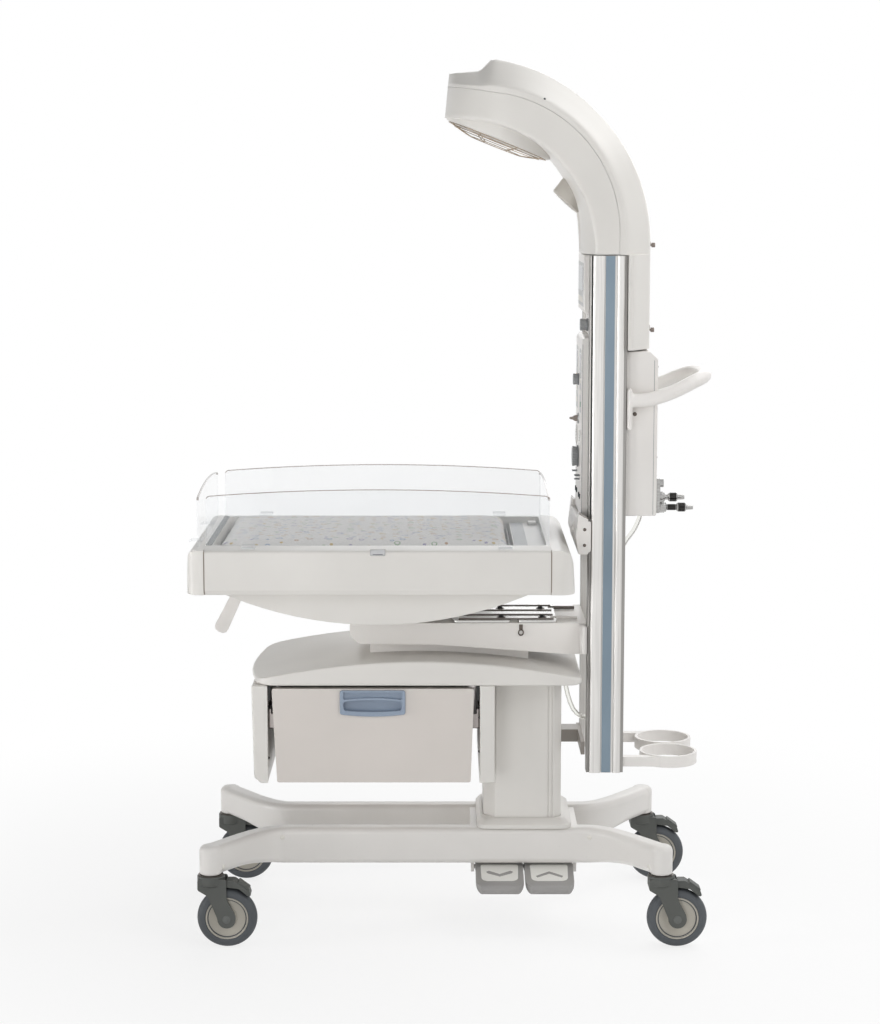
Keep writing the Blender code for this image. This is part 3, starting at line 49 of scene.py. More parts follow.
# Colours, nodes, camera and light

def linear(code):
    """sRGB hex to linear colour."""
    parts = [int(code[i:i + 2], 16) / 255.0 for i in (1, 3, 5)]
    return tuple(p / 12.92 if p <= 0.04045 else ((p + 0.055) / 1.055) ** 2.4 for p in parts) + (1.0,)


def node(tree, kind, inputs=None, **settings):
    """Add a node, set its properties, and set or link its inputs."""
    made = tree.nodes.new(kind)
    for key, value in settings.items():
        setattr(made, key, value)
    for key, value in (inputs or {}).items():
        if isinstance(value, tuple) and len(value) == 2 and isinstance(value[0], bpy.types.Node):
            tree.links.new(value[0].outputs[value[1]], made.inputs[key])
        else:
            made.inputs[key].default_value = value
    return made


def calc(tree, operation, first, second=0.0):
    """Sum of one or two numbers or links."""
    return node(tree, "ShaderNodeMath", {0: first, 1: second}, operation=operation)


def between(tree, value, low, high, first=0.0, last=1.0, ramp="LINEAR"):
    """Range from low to high as a value goes from first to last."""
    return node(tree, "ShaderNodeMapRange", {"Value": value, "From Min": first, "From Max": last,
                                             "To Min": low, "To Max": high}, interpolation_type=ramp)


def noise(tree, place, scale, detail):
    """Soft cloudy value, with scale in cells to the metre."""
    return node(tree, "ShaderNodeTexNoise", {"Vector": place, "Scale": scale, "Detail": detail})


def feed(tree, made, shader, key, out=0):
    """Link a node to one input of a shader."""
    tree.links.new(made.outputs[out], shader.inputs[key])


scene = bpy.context.scene
scene.view_settings.view_transform = "Standard"


def placed(name, data):
    """New object in the scene."""
    made = bpy.data.objects.new(name, data)
    scene.collection.objects.link(made)
    return made


PHOTO_F = 2358.0
PHOTO_H = 1024.0
CAMERA_AT = (SHIFT, -5.065, 1.595)
CAMERA_DOWN = math.radians(7.9)
camera_data = bpy.data.cameras.new("camera")
camera_data.lens = PHOTO_F * camera_data.sensor_width / PHOTO_H
camera = placed("camera", camera_data)
camera.location = CAMERA_AT
camera.rotation_euler = (math.pi / 2.0 - CAMERA_DOWN, 0.0, 0.0)
scene.camera = camera


def softbox(name, at, aim, size, power, spread=180.0):
    """Soft area lamp turned toward a place."""
    data = bpy.data.lights.new(name, "AREA")
    data.shape = "RECTANGLE"
    data.size, data.size_y = size
    data.energy = power
    data.spread = math.radians(spread)
    lamp = placed(name, data)
    lamp.location = at
    lamp.rotation_euler = (Vector(aim) - Vector(at)).to_track_quat("-Z", "Y").to_euler()


softbox("key_softbox", (2.7, -2.9, 3.0), (0.1, 0.0, 0.95), (2.2, 2.2), 45.0)
softbox("fill_softbox", (-1.3, -4.1, 0.9), (0.0, 0.0, 0.6), (1.2, 2.0), 26.0)
softbox("edge_softbox", (-2.2, -2.6, 0.9), (0.05, -0.1, 1.8), (0.4, 1.2), 1.6, 50.0)
softbox("top_softbox", (2.0, 0.4, 3.6), (0.0, 0.0, 0.8), (2.4, 2.0), 46.0)
softbox("left_softbox", (-3.6, -0.9, 0.9), (0.0, 0.0, 0.75), (1.2, 1.6), 12.5, 90.0)
softbox("rear_softbox", (0.8, 3.4, 2.4), (0.0, 0.0, 1.0), (3.0, 2.0), 30.0)

# Room light dims in the upper corner beyond the foot end, as with a dark flag hung there
world = bpy.data.worlds.new("studio")
scene.world = world
world.use_nodes = True
sky = world.node_tree
sky.nodes.clear()
rays = node(sky, "ShaderNodeLightPath")
seen = calc(sky, "MAXIMUM", (rays, "Is Camera Ray"), (rays, "Is Transmission Ray"))
aim = node(sky, "ShaderNodeTexCoord")
corner = node(sky, "ShaderNodeVectorMath", {0: (aim, "Generated"), 1: (-0.74, 0.0, 0.67)},
              operation="DOT_PRODUCT")
wall = between(sky, (corner, "Value"), 1.0, 0.03, 0.5, 0.92, "SMOOTHSTEP")
shine = between(sky, (rays, "Is Glossy Ray"), 0.44, 1.0)
level = calc(sky, "MULTIPLY", (wall, 0), (shine, 0))
dim = node(sky, "ShaderNodeBackground", {"Color": linear("#F3F4F5"), "Strength": (level, 0)})
bright = node(sky, "ShaderNodeBackground", {"Color": (1.0, 1.0, 1.0, 1.0), "Strength": 1.0})
blend = node(sky, "ShaderNodeMixShader", {0: (seen, 0), 1: (dim, 0), 2: (bright, 0)})
node(sky, "ShaderNodeOutputWorld", {"Surface": (blend, 0)})


# Materials. Every one reads Object coordinates, which are metres here.

def finish(name, colour, rough, metallic=0.0, ior=1.5, **extra):
    """Start a material; returns it with its tree, shader and coordinates."""
    mat = bpy.data.materials.new(name)
    mat.use_nodes = True
    tree = mat.node_tree
    shader = tree.nodes["Principled BSDF"]
    shader.inputs["Base Color"].default_value = linear(colour)
    shader.inputs["Roughness"].default_value = rough
    shader.inputs["Metallic"].default_value = metallic
    if metallic < 0.5:
        shader.inputs["IOR"].default_value = ior
    for key, value in extra.items():
        shader.inputs[key.replace("_", " ")].default_value = value
    where = node(tree, "ShaderNodeTexCoord")
    return mat, tree, shader, where


def tones(tree, shader, source, dark, light, spread):
    """Base colour that runs from dark to light as a source goes through a spread."""
    ramp = node(tree, "ShaderNodeValToRGB", {"Fac": (source, 0)})
    for stop, place, tone in zip(ramp.color_ramp.elements, spread, (dark, light)):
        stop.position = place
        stop.color = linear(tone)
    feed(tree, ramp, shader, "Base Color")


def grain(tree, shader, where, size, depth, rough):
    """Fine surface relief, and roughness that follows it through a range."""
    fine = noise(tree, (where, "Object"), 1.0 / size, 2.0)
    bump = node(tree, "ShaderNodeBump", {"Height": (fine, 0), "Strength": 0.25, "Distance": depth})
    feed(tree, bump, shader, "Normal")
    spread = between(tree, (fine, 0), *rough)
    feed(tree, spread, shader, "Roughness")


DRIFT = 0.22


def moulded(name, dark, light, rough, size=0.0016, depth=0.0002, ior=1.5):
    """Moulded plastic: tone that drifts a little, and a fine grain drawn coarse enough to show."""
    mat, tree, shader, where = finish(name, light, rough, ior=ior)
    drift = noise(tree, (where, "Object"), 1.0 / DRIFT, 3.0)
    tones(tree, shader, drift, dark, light, (0.3, 0.7))
    grain(tree, shader, where, size, depth, (rough - 0.06, rough + 0.06))
    return mat


WHITE_ABS = moulded("white ABS, satin moulded", "#DAD7D2", "#E1DED9", 0.36)
# Lighter copy of the same white ABS for parts that fall in shade: painted light, the light those parts catch
# put into their colour
LIT_WHITE_ABS = moulded("white ABS painted lighter as lit, satin moulded", "#E8E4E0", "#EEEBE7", 0.36)
DRAWER_ABS = moulded("stone white ABS, satin moulded", "#D3CDC7", "#D9D2CC", 0.42)
BRACKET_TAUPE = moulded("taupe grey paint on cast aluminium", "#97918B", "#A39D97", 0.42, 0.003, 0.0004)
CREAM_NYLON = moulded("cream white nylon, moulded", "#DFDBD3", "#E8E5DE", 0.36)
GREY_NYLON = moulded("dark grey glass-filled nylon, moulded", "#484A47", "#555753", 0.5, 0.0012, 0.0003)
LAMP_BEIGE = moulded("beige grey ABS, moulded", "#BDB8B0", "#C8C3BB", 0.45)
AXLE_GREY = moulded("dark grey nylon axle cap, moulded", "#585A57", "#646663", 0.5)
KNOB_GREY = moulded("grey ABS knob, moulded", "#6E7173", "#7B7E80", 0.45)
KNOB_PALE = moulded("pale grey ABS grip, moulded", "#8C8E90", "#9A9C9D", 0.42)
TOGGLE_GREY = moulded("taupe grey nylon lever, moulded", "#847B75", "#918881", 0.4)
PEDAL_RUBBER = moulded("mid grey EPDM rubber, moulded", "#918F8D", "#9F9D9B", 0.6, 0.0014, 0.0004)
PAD_RUBBER = moulded("pale grey EPDM rubber, moulded", "#E2E1DC", "#EBEAE5", 0.6, 0.0014, 0.0004)
# Tyre grey, also used for the ring of painted shade in the hub step
TYRE_GREY_AND_STEP_SHADE = moulded("grey polyurethane tyre, cast", "#45484B", "#55595D", 0.62, 0.0022, 0.0004)
HUB_CREAM = moulded("stone grey nylon hub, moulded", "#A8A398", "#B8B3A8", 0.5)
BLUE_PC = moulded("slate blue polycarbonate, moulded", "#8593A6", "#919FB1", 0.28, 0.0012, 0.0001, 1.58)
STRIPE_BLUE = moulded("slate blue vinyl strip, calendered", "#7A8C9A", "#8798A5", 0.35, 0.001, 0.0001)
BLACK_STEEL = moulded("black e-coated steel", "#141517", "#1E2022", 0.4, 0.001, 0.0001)
# Black rubber for clips and screw heads, also laid in the mast groove as painted shade
BLACK_EPDM_AND_GROOVE_SHADE = moulded("black EPDM, and painted shade in the mast groove", "#2C2C2C", "#383838", 0.7)
SEAL_GREY = moulded("grey PVC seal, extruded", "#8F9193", "#9B9DA0", 0.5)

# Powder coat: small orange-peel ripples about 2 mm across under a satin film
POWDER_WHITE = moulded("white powder coat on steel", "#DFDCD8", "#E7E4E0", 0.3, 0.0034, 0.0006)


def drawn_metal(name, dark, light, rough, stretch, size):
    """Metal with fine lines along its length from drawing, extruding or brushing."""
    mat, tree, shader, where = finish(name, light, rough, 1.0)
    place = node(tree, "ShaderNodeMapping", {"Vector": (where, "Object"), "Scale": stretch})
    lines = noise(tree, (place, 0), 1.0 / size, 2.0)
    tones(tree, shader, lines, dark, light, (0.35, 0.65))
    spread = between(tree, (lines, 0), rough - 0.06, rough + 0.08)
    feed(tree, spread, shader, "Roughness")
    bump = node(tree, "ShaderNodeBump", {"Height": (lines, 0), "Strength": 0.12, "Distance": 0.0002})
    feed(tree, bump, shader, "Normal")
    return mat


EVEN, ALONG_X, ALONG_Z = (1.0, 1.0, 1.0), (0.05, 1.0, 1.0), (1.0, 1.0, 0.01)
MAST_ALU = drawn_metal("silver anodised aluminium, extruded", "#CBC9C6", "#DAD8D5", 0.42, ALONG_Z, 0.0015)
# Darker copy of the same anodised aluminium for the faces beside the ribs: painted shade and dark reflection
MAST_FLANGE_SHADE = drawn_metal("silver anodised aluminium, flange in painted shade", "#8E8C89", "#A09E9B", 0.42, ALONG_Z,
                          0.0015)
PLATE_STEEL = drawn_metal("stainless steel, rolled and polished", "#C2C1BE", "#D4D3D0", 0.2,
                          (0.02, 1.0, 1.0), 0.0012)
# Chromed brass with its colour darkened a little: real chrome, plus painted reflection of darker surroundings
CHROME_DARKENED_AS_REFLECTION = drawn_metal("chromed brass, turned, darkened as painted reflection", "#A3A2A0", "#BBBAB8", 0.14, ALONG_X, 0.0015)
SCREW_ZINC = drawn_metal("bright zinc plated steel, turned", "#B4B6B6", "#C6C7C7", 0.28, EVEN, 0.0008)
RUNNER_ZINC = drawn_metal("zinc plated steel runner, rolled", "#A49D9A", "#B4ADAA", 0.4, (1.0, 0.05, 1.0),
                          0.0015)
ROD_DARK = drawn_metal("dark ground steel rod", "#6A645F", "#7B7570", 0.3, ALONG_X, 0.0012)
DARK_CHROME = drawn_metal("black chromed brass, knurled", "#2B2A29", "#454442", 0.2, ALONG_X, 0.0012)
SCREW_ROSE = drawn_metal("pale bronzed steel screw, knurled", "#7F756F", "#8E847E", 0.36, EVEN, 0.0008)
SCREW_DARK = drawn_metal("dark bronzed steel screw, rolled", "#5B544E", "#6E6660", 0.32, EVEN, 0.0008)
REFLECTOR_ALU = drawn_metal("bright rolled aluminium reflector, spun", "#EFEDE8", "#F7F5F1", 0.3, EVEN, 0.002)
WIRE_STEEL = drawn_metal("nickel plated wire, heat tinted", "#9C8B78", "#B3A491", 0.3, EVEN, 0.003)
ELEMENT_TUBE = moulded("ceramic coated heater tube", "#4A443F", "#5A534C", 0.6, 0.0015, 0.0002)


def clear_plastic(name, tint, rough, ior):
    """Clear cast sheet or tube: very slight smears in the polish."""
    mat, tree, shader, where = finish(name, tint, rough, ior=ior, Transmission_Weight=1.0)
    smear = noise(tree, (where, "Object"), 14.0, 3.0)
    spread = between(tree, (smear, 0), rough * 0.6, rough * 1.6)
    feed(tree, spread, shader, "Roughness")
    return mat


def clear_sheet(name, tint, alpha, rough):
    """Clear sheet a few millimetres thick: faint film with very slight smears in the polish."""
    mat, tree, shader, where = finish(name, tint, rough, ior=1.49)
    smear = noise(tree, (where, "Object"), 9.0, 3.0)
    film = between(tree, (smear, 0), alpha * 0.8, alpha * 1.2)
    feed(tree, film, shader, "Alpha")
    return mat


ACRYLIC = clear_sheet("clear acrylic sheet, cast", "#E3E9EE", 0.1, 0.03)
ACRYLIC_EDGE = clear_sheet("clear acrylic edge, flame polished", "#A2958C", 0.75, 0.12)
CLEAR_PVC = clear_plastic("clear PVC hose, extruded", "#F1F1EC", 0.12, 1.52)
LENS_GLASS = clear_plastic("lamp lens, pressed glass", "#F4F1EA", 0.08, 1.5)
DISPLAY_GLASS = moulded("dark display window, hard coated", "#0E1216", "#161C22", 0.1, 0.004, 0.00002)
FACE_GREY = moulded("pale grey membrane overlay, printed", "#C2C2C1", "#CCCCCB", 0.45, 0.0008, 0.0001)
DIAL_WHITE = moulded("white enamelled dial face", "#EDEDEA", "#F4F4F2", 0.4, 0.0008, 0.00005)
MARK_DARK = moulded("dark grey printed mark", "#3A3E42", "#44484C", 0.5, 0.0008, 0.00005)
SOFT_GREEN = moulded("green button cap, moulded", "#7E9C86", "#8AA892", 0.4)
LATCH_GREY = moulded("silver grey acetal, moulded", "#C4C4C6", "#CFCFD0", 0.4)
# Taupe for thin lines that are painted shade of narrow gaps between parts
GAP_SHADE_TAUPE = moulded("taupe painted shade of narrow gaps", "#77695F", "#82746A", 0.6)
# Mid grey laid on the foot rim as painted shade
FOOT_RIM_SHADE_GREY = moulded("mid grey painted shade on the foot rim", "#7C7D7C", "#888988", 0.7)
# Mid grey laid on the head ledge as painted shade of a recess
LEDGE_SHADE_GREY = moulded("mid grey painted shade of the ledge recess", "#A2A3A4", "#AEAFB0", 0.45)
SOFT_AMBER = moulded("amber button cap, moulded", "#BFA070", "#CBAE80", 0.4)


def printed_cloth(name, ground):
    """Woven cotton cover, with small pastel rings and dots scattered about 26 mm apart."""
    mat, tree, shader, where = finish(name, ground, 0.85, ior=1.4, Sheen_Weight=0.15)
    flat = node(tree, "ShaderNodeMapping", {"Vector": (where, "Object"), "Scale": (1.0, 1.25, 0.0)})
    cells = node(tree, "ShaderNodeTexVoronoi", {"Vector": (flat, 0), "Scale": 1.0 / 0.026,
                                                "Randomness": 0.85}, voronoi_dimensions="2D")
    pick = node(tree, "ShaderNodeSeparateColor", {"Color": (cells, "Color")})
    size = between(tree, (pick, "Green"), 0.1, 0.24)
    off = calc(tree, "SUBTRACT", (cells, "Distance"), (size, 0))
    band = calc(tree, "ABSOLUTE", (off, 0))
    ring = calc(tree, "LESS_THAN", (band, 0), 0.055)
    dot = calc(tree, "LESS_THAN", (cells, "Distance"), 0.14)
    kind = calc(tree, "GREATER_THAN", (pick, "Blue"), 0.5)
    shape = node(tree, "ShaderNodeMix", {0: (kind, 0), 2: (ring, 0), 3: (dot, 0)})
    dyes = node(tree, "ShaderNodeValToRGB", {"Fac": (pick, "Red")})
    dyes.color_ramp.interpolation = "CONSTANT"
    stops = ((0.0, "#8FA2BE"), (0.24, "#C9AE6C"), (0.44, "#BC9673"), (0.62, "#97AF8E"), (0.8, "#A49DBB"))
    for k, (place, dye) in enumerate(stops):
        stop = dyes.color_ramp.elements[k] if k < 2 else dyes.color_ramp.elements.new(place)
        stop.position = place
        stop.color = linear(dye)
    soft = calc(tree, "MULTIPLY", (shape, 0), 0.9)
    colour = node(tree, "ShaderNodeMix", {0: (soft, 0), 6: linear(ground), 7: (dyes, 0)}, data_type="RGBA")
    feed(tree, colour, shader, "Base Color", 2)
    thread = {"Vector": (where, "Object"), "Scale": 1.0 / 0.0046, "Distortion": 0.6}
    warp, weft = (node(tree, "ShaderNodeTexWave", thread, bands_direction=way) for way in "XY")
    cross = calc(tree, "MAXIMUM", (warp, 1), (weft, 1))
    bump = node(tree, "ShaderNodeBump", {"Height": (cross, 0), "Strength": 0.2, "Distance": 0.0003})
    feed(tree, bump, shader, "Normal")
    return mat


PRINTED_COVER = printed_cloth("printed cotton cover, woven", "#E6E3E0")
COVER_WELT = moulded("cotton welt cord, sewn", "#D2D1CF", "#DCDBD9", 0.85, 0.0012, 0.0003)


# Shaping helpers. Places along X are as read off the photograph; stand() moves them to the frame.

def stand(name, mesh, mat, body, nodes=(), sharp=38.0, shift=SHIFT):
    """Put a finished mesh in the scene as one piece of a body."""
    mesh.transform(Matrix.Translation((shift, 0.0, 0.0)))
    mesh.materials.clear()
    mesh.materials.append(mat)
    mesh.shade_smooth()
    mesh.set_sharp_from_angle(angle=math.radians(sharp))
    mesh = settled(mesh, ("WEIGHTED_NORMAL", {"keep_sharp": True}))
    piece = placed(name, mesh)
    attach(piece, body)
    if nodes:
        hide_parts(*nodes)
    return piece


def finished(name, mesh, mat, sharp=38.0, shift=SHIFT):
    """Piece that takes the place of one CAD node, on that node's body."""
    return stand(name + "_finish", mesh, mat, NODE_BODY[name], (name,), sharp, shift)


def second(piece, mat, rule):
    """One more material on a piece, for the faces that a rule picks."""
    piece.data.materials.append(mat)
    for face in piece.data.polygons:
        if rule(face):
            face.material_index = len(piece.data.materials) - 1


def baked(holder):
    """Plain mesh of an object with its modifiers run; the object goes."""
    view = bpy.context.evaluated_depsgraph_get()
    done = bpy.data.meshes.new_from_object(holder.evaluated_get(view))
    bpy.data.objects.remove(holder)
    return done


def settled(mesh, *steps):
    """Run modifiers on a mesh and return the plain result."""
    holder = placed("holder", mesh)
    for kind, settings in steps:
        modifier = holder.modifiers.new(kind.lower(), kind)
        for key, value in settings.items():
            setattr(modifier, key, value)
    return baked(holder)


def rounding(width, segments=3, angle=32.0):
    """Modifier step that rounds every corner sharper than an angle."""
    return ("BEVEL", {"width": width, "segments": segments, "limit_method": "ANGLE",
                      "angle_limit": math.radians(angle), "miter_outer": "MITER_ARC"})


def carved(mesh, *cuts):
    """Join or cut solids in turn; each cut is (operation, mesh)."""
    tools = []
    steps = []
    for operation, form in cuts:
        tool = placed("tool", form)
        tools.append(tool)
        steps.append(("BOOLEAN", {"operation": operation, "solver": "EXACT", "object": tool}))
    done = settled(mesh, *steps)
    for tool in tools:
        bpy.data.objects.remove(tool)
    return done


def cad_mesh(name):
    """Copy of a CAD node where the frame has it, with its loose triangles joined into flat faces."""
    source = frame["nodes"][name]
    mesh = source.data.copy()
    mesh.transform(source.matrix_world)
    form = bmesh.new()
    form.from_mesh(mesh)
    bmesh.ops.remove_doubles(form, verts=form.verts, dist=0.00001)
    bmesh.ops.dissolve_limit(form, angle_limit=math.radians(0.5), verts=form.verts, edges=form.edges)
    form.to_mesh(mesh)
    form.free()
    return mesh


def dress(name, mat, width=0.0, segments=2, angle=40.0):
    """Finished copy of a CAD node with its corners rounded."""
    mesh = cad_mesh(name)
    if width:
        mesh = settled(mesh, rounding(width, segments, angle))
    return finished(name, mesh, mat, 40.0, 0.0)


def softened(name, mat, voxel, rounds):
    """Copy of a CAD node melted into one smooth moulding."""
    mesh = settled(cad_mesh(name), ("REMESH", {"mode": "VOXEL", "voxel_size": voxel}),
                   ("SMOOTH", {"factor": 0.5, "iterations": rounds}))
    return finished(name, mesh, mat, 60.0, 0.0)


def solid(spots, faces):
    """Closed mesh from points and faces, welded, with its faces outward."""
    mesh = bpy.data.meshes.new("form")
    mesh.from_pydata([tuple(s) for s in spots], [], faces)
    form = bmesh.new()
    form.from_mesh(mesh)
    bmesh.ops.remove_doubles(form, verts=form.verts, dist=0.000001)
    bmesh.ops.recalc_face_normals(form, faces=form.faces)
    form.to_mesh(mesh)
    form.free()
    return mesh


def loft(rings, round_trip=False):
    """Skin over closed rings of equal count, capped, or with the last ring joined to the first."""
    n = len(rings[0])
    spots = [p for ring in rings for p in ring]
    pairs = [(k, k + 1) for k in range(len(rings) - 1)]
    if round_trip:
        pairs.append((len(rings) - 1, 0))
    faces = [(a * n + i, a * n + (i + 1) % n, b * n + (i + 1) % n, b * n + i) for a, b in pairs
             for i in range(n)]
    if not round_trip:
        faces += [tuple(range(n))[::-1], tuple(range((len(rings) - 1) * n, len(rings) * n))]
    return solid(spots, faces)


def lathe(profile, at, axis=(0.0, 0.0, 1.0), steps=48):
    """Turn a closed (radius, height) profile about an axis through at."""
    turn = Vector(axis).to_track_quat("Z", "Y").to_matrix()
    base = Vector(at)
    rings = []
    for k in range(steps):
        a = 2.0 * math.pi * k / steps
        rings.append([base + turn @ Vector((r * math.cos(a), r * math.sin(a), h)) for r, h in profile])
    return loft(rings, True)


def rod(radius, low, high):
    """Profile of a plain round bar."""
    return [(0.0, low), (radius, low), (radius, high), (0.0, high)]


def rounded(corners, steps=5):
    """Plan outline with each (a, b, radius) corner turned into an arc."""
    shape = []
    n = len(corners)
    for i, (a, b, r) in enumerate(corners):
        here = Vector((a, b))
        if r <= 0.0:
            shape.append((a, b))
            continue
        back = (Vector(corners[i - 1][:2]) - here).normalized()
        ahead = (Vector(corners[(i + 1) % n][:2]) - here).normalized()
        half = back.angle(ahead) / 2.0
        reach = r / math.tan(half)
        centre = here + (back + ahead).normalized() * (r / math.sin(half))
        first = here + back * reach - centre
        sweep_angle = math.pi - 2.0 * half
        turn = 1.0 if back.x * ahead.y - back.y * ahead.x < 0.0 else -1.0
        for k in range(steps + 1):
            t = turn * sweep_angle * k / steps
            shape.append((centre.x + first.x * math.cos(t) - first.y * math.sin(t),
                          centre.y + first.x * math.sin(t) + first.y * math.cos(t)))
    return shape


def rounded_box(a, b, r, steps=5):
    """Rectangle outline over two spans, with round corners."""
    return rounded([(a[0], b[0], r), (a[1], b[0], r), (a[1], b[1], r), (a[0], b[1], r)], steps)


def slab(shape, low, high, axis="Y", width=0.0, segments=2):
    """Plate of an outline between two heights along an axis, its edges rounded by width."""
    order = {"X": (2, 0, 1), "Y": (0, 2, 1), "Z": (0, 1, 2)}[axis]
    mesh = loft([[tuple((a, b, h)[k] for k in order) for a, b in shape] for h in (low, high)])
    return settled(mesh, rounding(width, segments)) if width else mesh


def block(x, y, z, width=0.0, segments=2):
    """Box over three spans."""
    return slab([(x[0], z[0]), (x[1], z[0]), (x[1], z[1]), (x[0], z[1])], y[0], y[1], "Y", width, segments)


def joined(*meshes):
    """Several meshes as one."""
    form = bmesh.new()
    for mesh in meshes:
        form.from_mesh(mesh)
    whole = bpy.data.meshes.new("joined")
    form.to_mesh(whole)
    form.free()
    return whole


def sided(side, inner, outer):
    """Span on one side of the middle plane, low end first."""
    return sorted((side * inner, side * outer))


def ease(t):
    """Smooth step from 0 to 1."""
    t = max(0.0, min(1.0, t))
    return t * t * (3.0 - 2.0 * t)


# CAD nodes that only need finished edges, with their material and the rounding in metres

for name, mat, width in (
        ("base_bridge", POWDER_WHITE, 0.0015), ("column_collar", WHITE_ABS, 0.002),
        ("lift_column", MAST_ALU, 0.0), ("column_sleeve", WHITE_ABS, 0.0),
        ("cabinet_top", WHITE_ABS, 0.0), ("cabinet_wall_foot", WHITE_ABS, 0.0025),
        ("cabinet_wall_head", WHITE_ABS, 0.0025), ("support_beam", LIT_WHITE_ABS, 0.0),
        ("canister_rings", LIT_WHITE_ABS, 0.0012), ("supply_hose", CLEAR_PVC, 0.0),
        ):
    dress(name, mat, width)


# Repeats grown by node trees

def grow(tree_name, build, mesh, settings):
    """Run a node tree with named inputs over a mesh and return the plain result."""
    tree = bpy.data.node_groups.new(tree_name, "GeometryNodeTree")
    tree.interface.new_socket("Geometry", in_out="INPUT", socket_type="NodeSocketGeometry")
    tree.interface.new_socket("Geometry", in_out="OUTPUT", socket_type="NodeSocketGeometry")
    keys = {}
    for label, value in settings.items():
        kind = "NodeSocketMaterial" if isinstance(value, bpy.types.Material) else "NodeSocketFloat"
        keys[label] = tree.interface.new_socket(label, in_out="INPUT", socket_type=kind).identifier
    into = tree.nodes.new("NodeGroupInput")
    grown = build(tree, into)
    real = node(tree, "GeometryNodeRealizeInstances", {"Geometry": grown})
    coated = node(tree, "GeometryNodeSetMaterial", {"Geometry": (real, 0), "Material": (into, "Material")})
    node(tree, "NodeGroupOutput", {"Geometry": (coated, 0)})
    holder = placed(tree_name, mesh)
    modifier = holder.modifiers.new("grow", "NODES")
    modifier.node_group = tree
    for label, value in settings.items():
        modifier[keys[label]] = value
    return baked(holder)


def screw_tree(tree, into):
    """Domed screw heads with a cross recess, one on each point, standing along its aim."""
    dome = node(tree, "GeometryNodeMeshUVSphere", {"Segments": 20, "Rings": 12, "Radius": 1.0})
    flat = node(tree, "ShaderNodeCombineXYZ", {"X": (into, "Radius"), "Y": (into, "Radius"),
                                               "Z": (into, "Height")})
    head = node(tree, "GeometryNodeTransform", {"Geometry": (dome, 0), "Scale": (flat, 0)})
    slot_w = calc(tree, "MULTIPLY", (into, "Radius"), 0.3)
    slot_l = calc(tree, "MULTIPLY", (into, "Radius"), 1.15)
    cuts = []
    for a, b in ((slot_l, slot_w), (slot_w, slot_l)):
        size = node(tree, "ShaderNodeCombineXYZ", {"X": (a, 0), "Y": (b, 0), "Z": (into, "Height")})
        bar = node(tree, "GeometryNodeMeshCube", {"Size": (size, 0)})
        lift = node(tree, "ShaderNodeCombineXYZ", {"Z": (into, "Height")})
        cuts.append(node(tree, "GeometryNodeTransform", {"Geometry": (bar, 0), "Translation": (lift, 0)}))
    cross = node(tree, "GeometryNodeMeshBoolean", {"Mesh 1": (head, 0)}, operation="DIFFERENCE",
                 solver="EXACT")
    for bar in cuts:
        tree.links.new(bar.outputs[0], cross.inputs["Mesh 2"])
    aim = node(tree, "GeometryNodeInputNamedAttribute", {"Name": "aim"}, data_type="FLOAT_VECTOR")
    turn = node(tree, "FunctionNodeAlignRotationToVector", {"Vector": (aim, 0)}, axis="Z")
    spots = node(tree, "GeometryNodeMeshToPoints", {"Mesh": (into, "Geometry")})
    return (node(tree, "GeometryNodeInstanceOnPoints",
                 {"Points": (spots, 0), "Instance": (cross, 0), "Rotation": (turn, 0)}), 0)


def screws(name, spots, radius, height, mat, body):
    """Screw heads at (place, aim) pairs, all on one body."""
    seeds = bpy.data.meshes.new(name)
    seeds.from_pydata([p for p, aim in spots], [], [])
    held = seeds.attributes.new("aim", "FLOAT_VECTOR", "POINT")
    for k, (p, aim) in enumerate(spots):
        held.data[k].vector = aim
    mesh = grow(name, screw_tree, seeds, {"Radius": radius, "Height": height, "Material": mat})
    return stand(name, mesh, mat, body)


NEAR = (0.0, -1.0, 0.0)
FAR = (0.0, 1.0, 0.0)
FOOT = (-1.0, 0.0, 0.0)
HEAD = (1.0, 0.0, 0.0)
UP = (0.0, 0.0, 1.0)

# Base rails: a bar that sweeps out to the caster stems, and a round boss over each stem

RAIL_TOP, RAIL_T, RAIL_EDGE_R = 0.219, 0.046, 0.014
BOSS_FOOT_R, BOSS_TOP_R, BOSS_PROUD = 0.005, 0.012, 0.0006
RAIL_Y = (0.097, 0.247)
RAIL_LOW = (0.14, 0.157)
RAIL_BENDS = ((-0.335, -0.483), (0.316, 0.466))


def rail_place(x):
    """Distance of a rail from the middle plane, and its lower edge, at a place along it."""
    inner, outer = RAIL_BENDS[0 if x < 0.0 else 1]
    s = min(max((x - inner) / (outer - inner), 0.0), 1.0)
    t = s * s * (1.7 - 0.7 * s)
    return RAIL_Y[0] + (RAIL_Y[1] - RAIL_Y[0]) * t, RAIL_LOW[0] + (RAIL_LOW[1] - RAIL_LOW[0]) * ease(s / 0.75)


def rail_slope(x):
    """Change of the distance with x, taken toward the middle so that the ends keep their slope."""
    step = 0.001 if x < 0.0 else -0.001
    return (rail_place(x + step)[0] - rail_place(x)[0]) / step


def rail_ring(x, side):
    """Section of a rail, square to its run."""
    y, low = rail_place(x)
    across = Vector((-rail_slope(x), 1.0)).normalized()
    half_w, mid, half_h = RAIL_T / 2.0, (RAIL_TOP + low) / 2.0, (RAIL_TOP - low) / 2.0
    shape = rounded_box((-half_w, half_w), (-half_h, half_h), RAIL_EDGE_R, 7)
    return [(x + across.x * a, side * (y + across.y * a), mid + b) for a, b in shape]


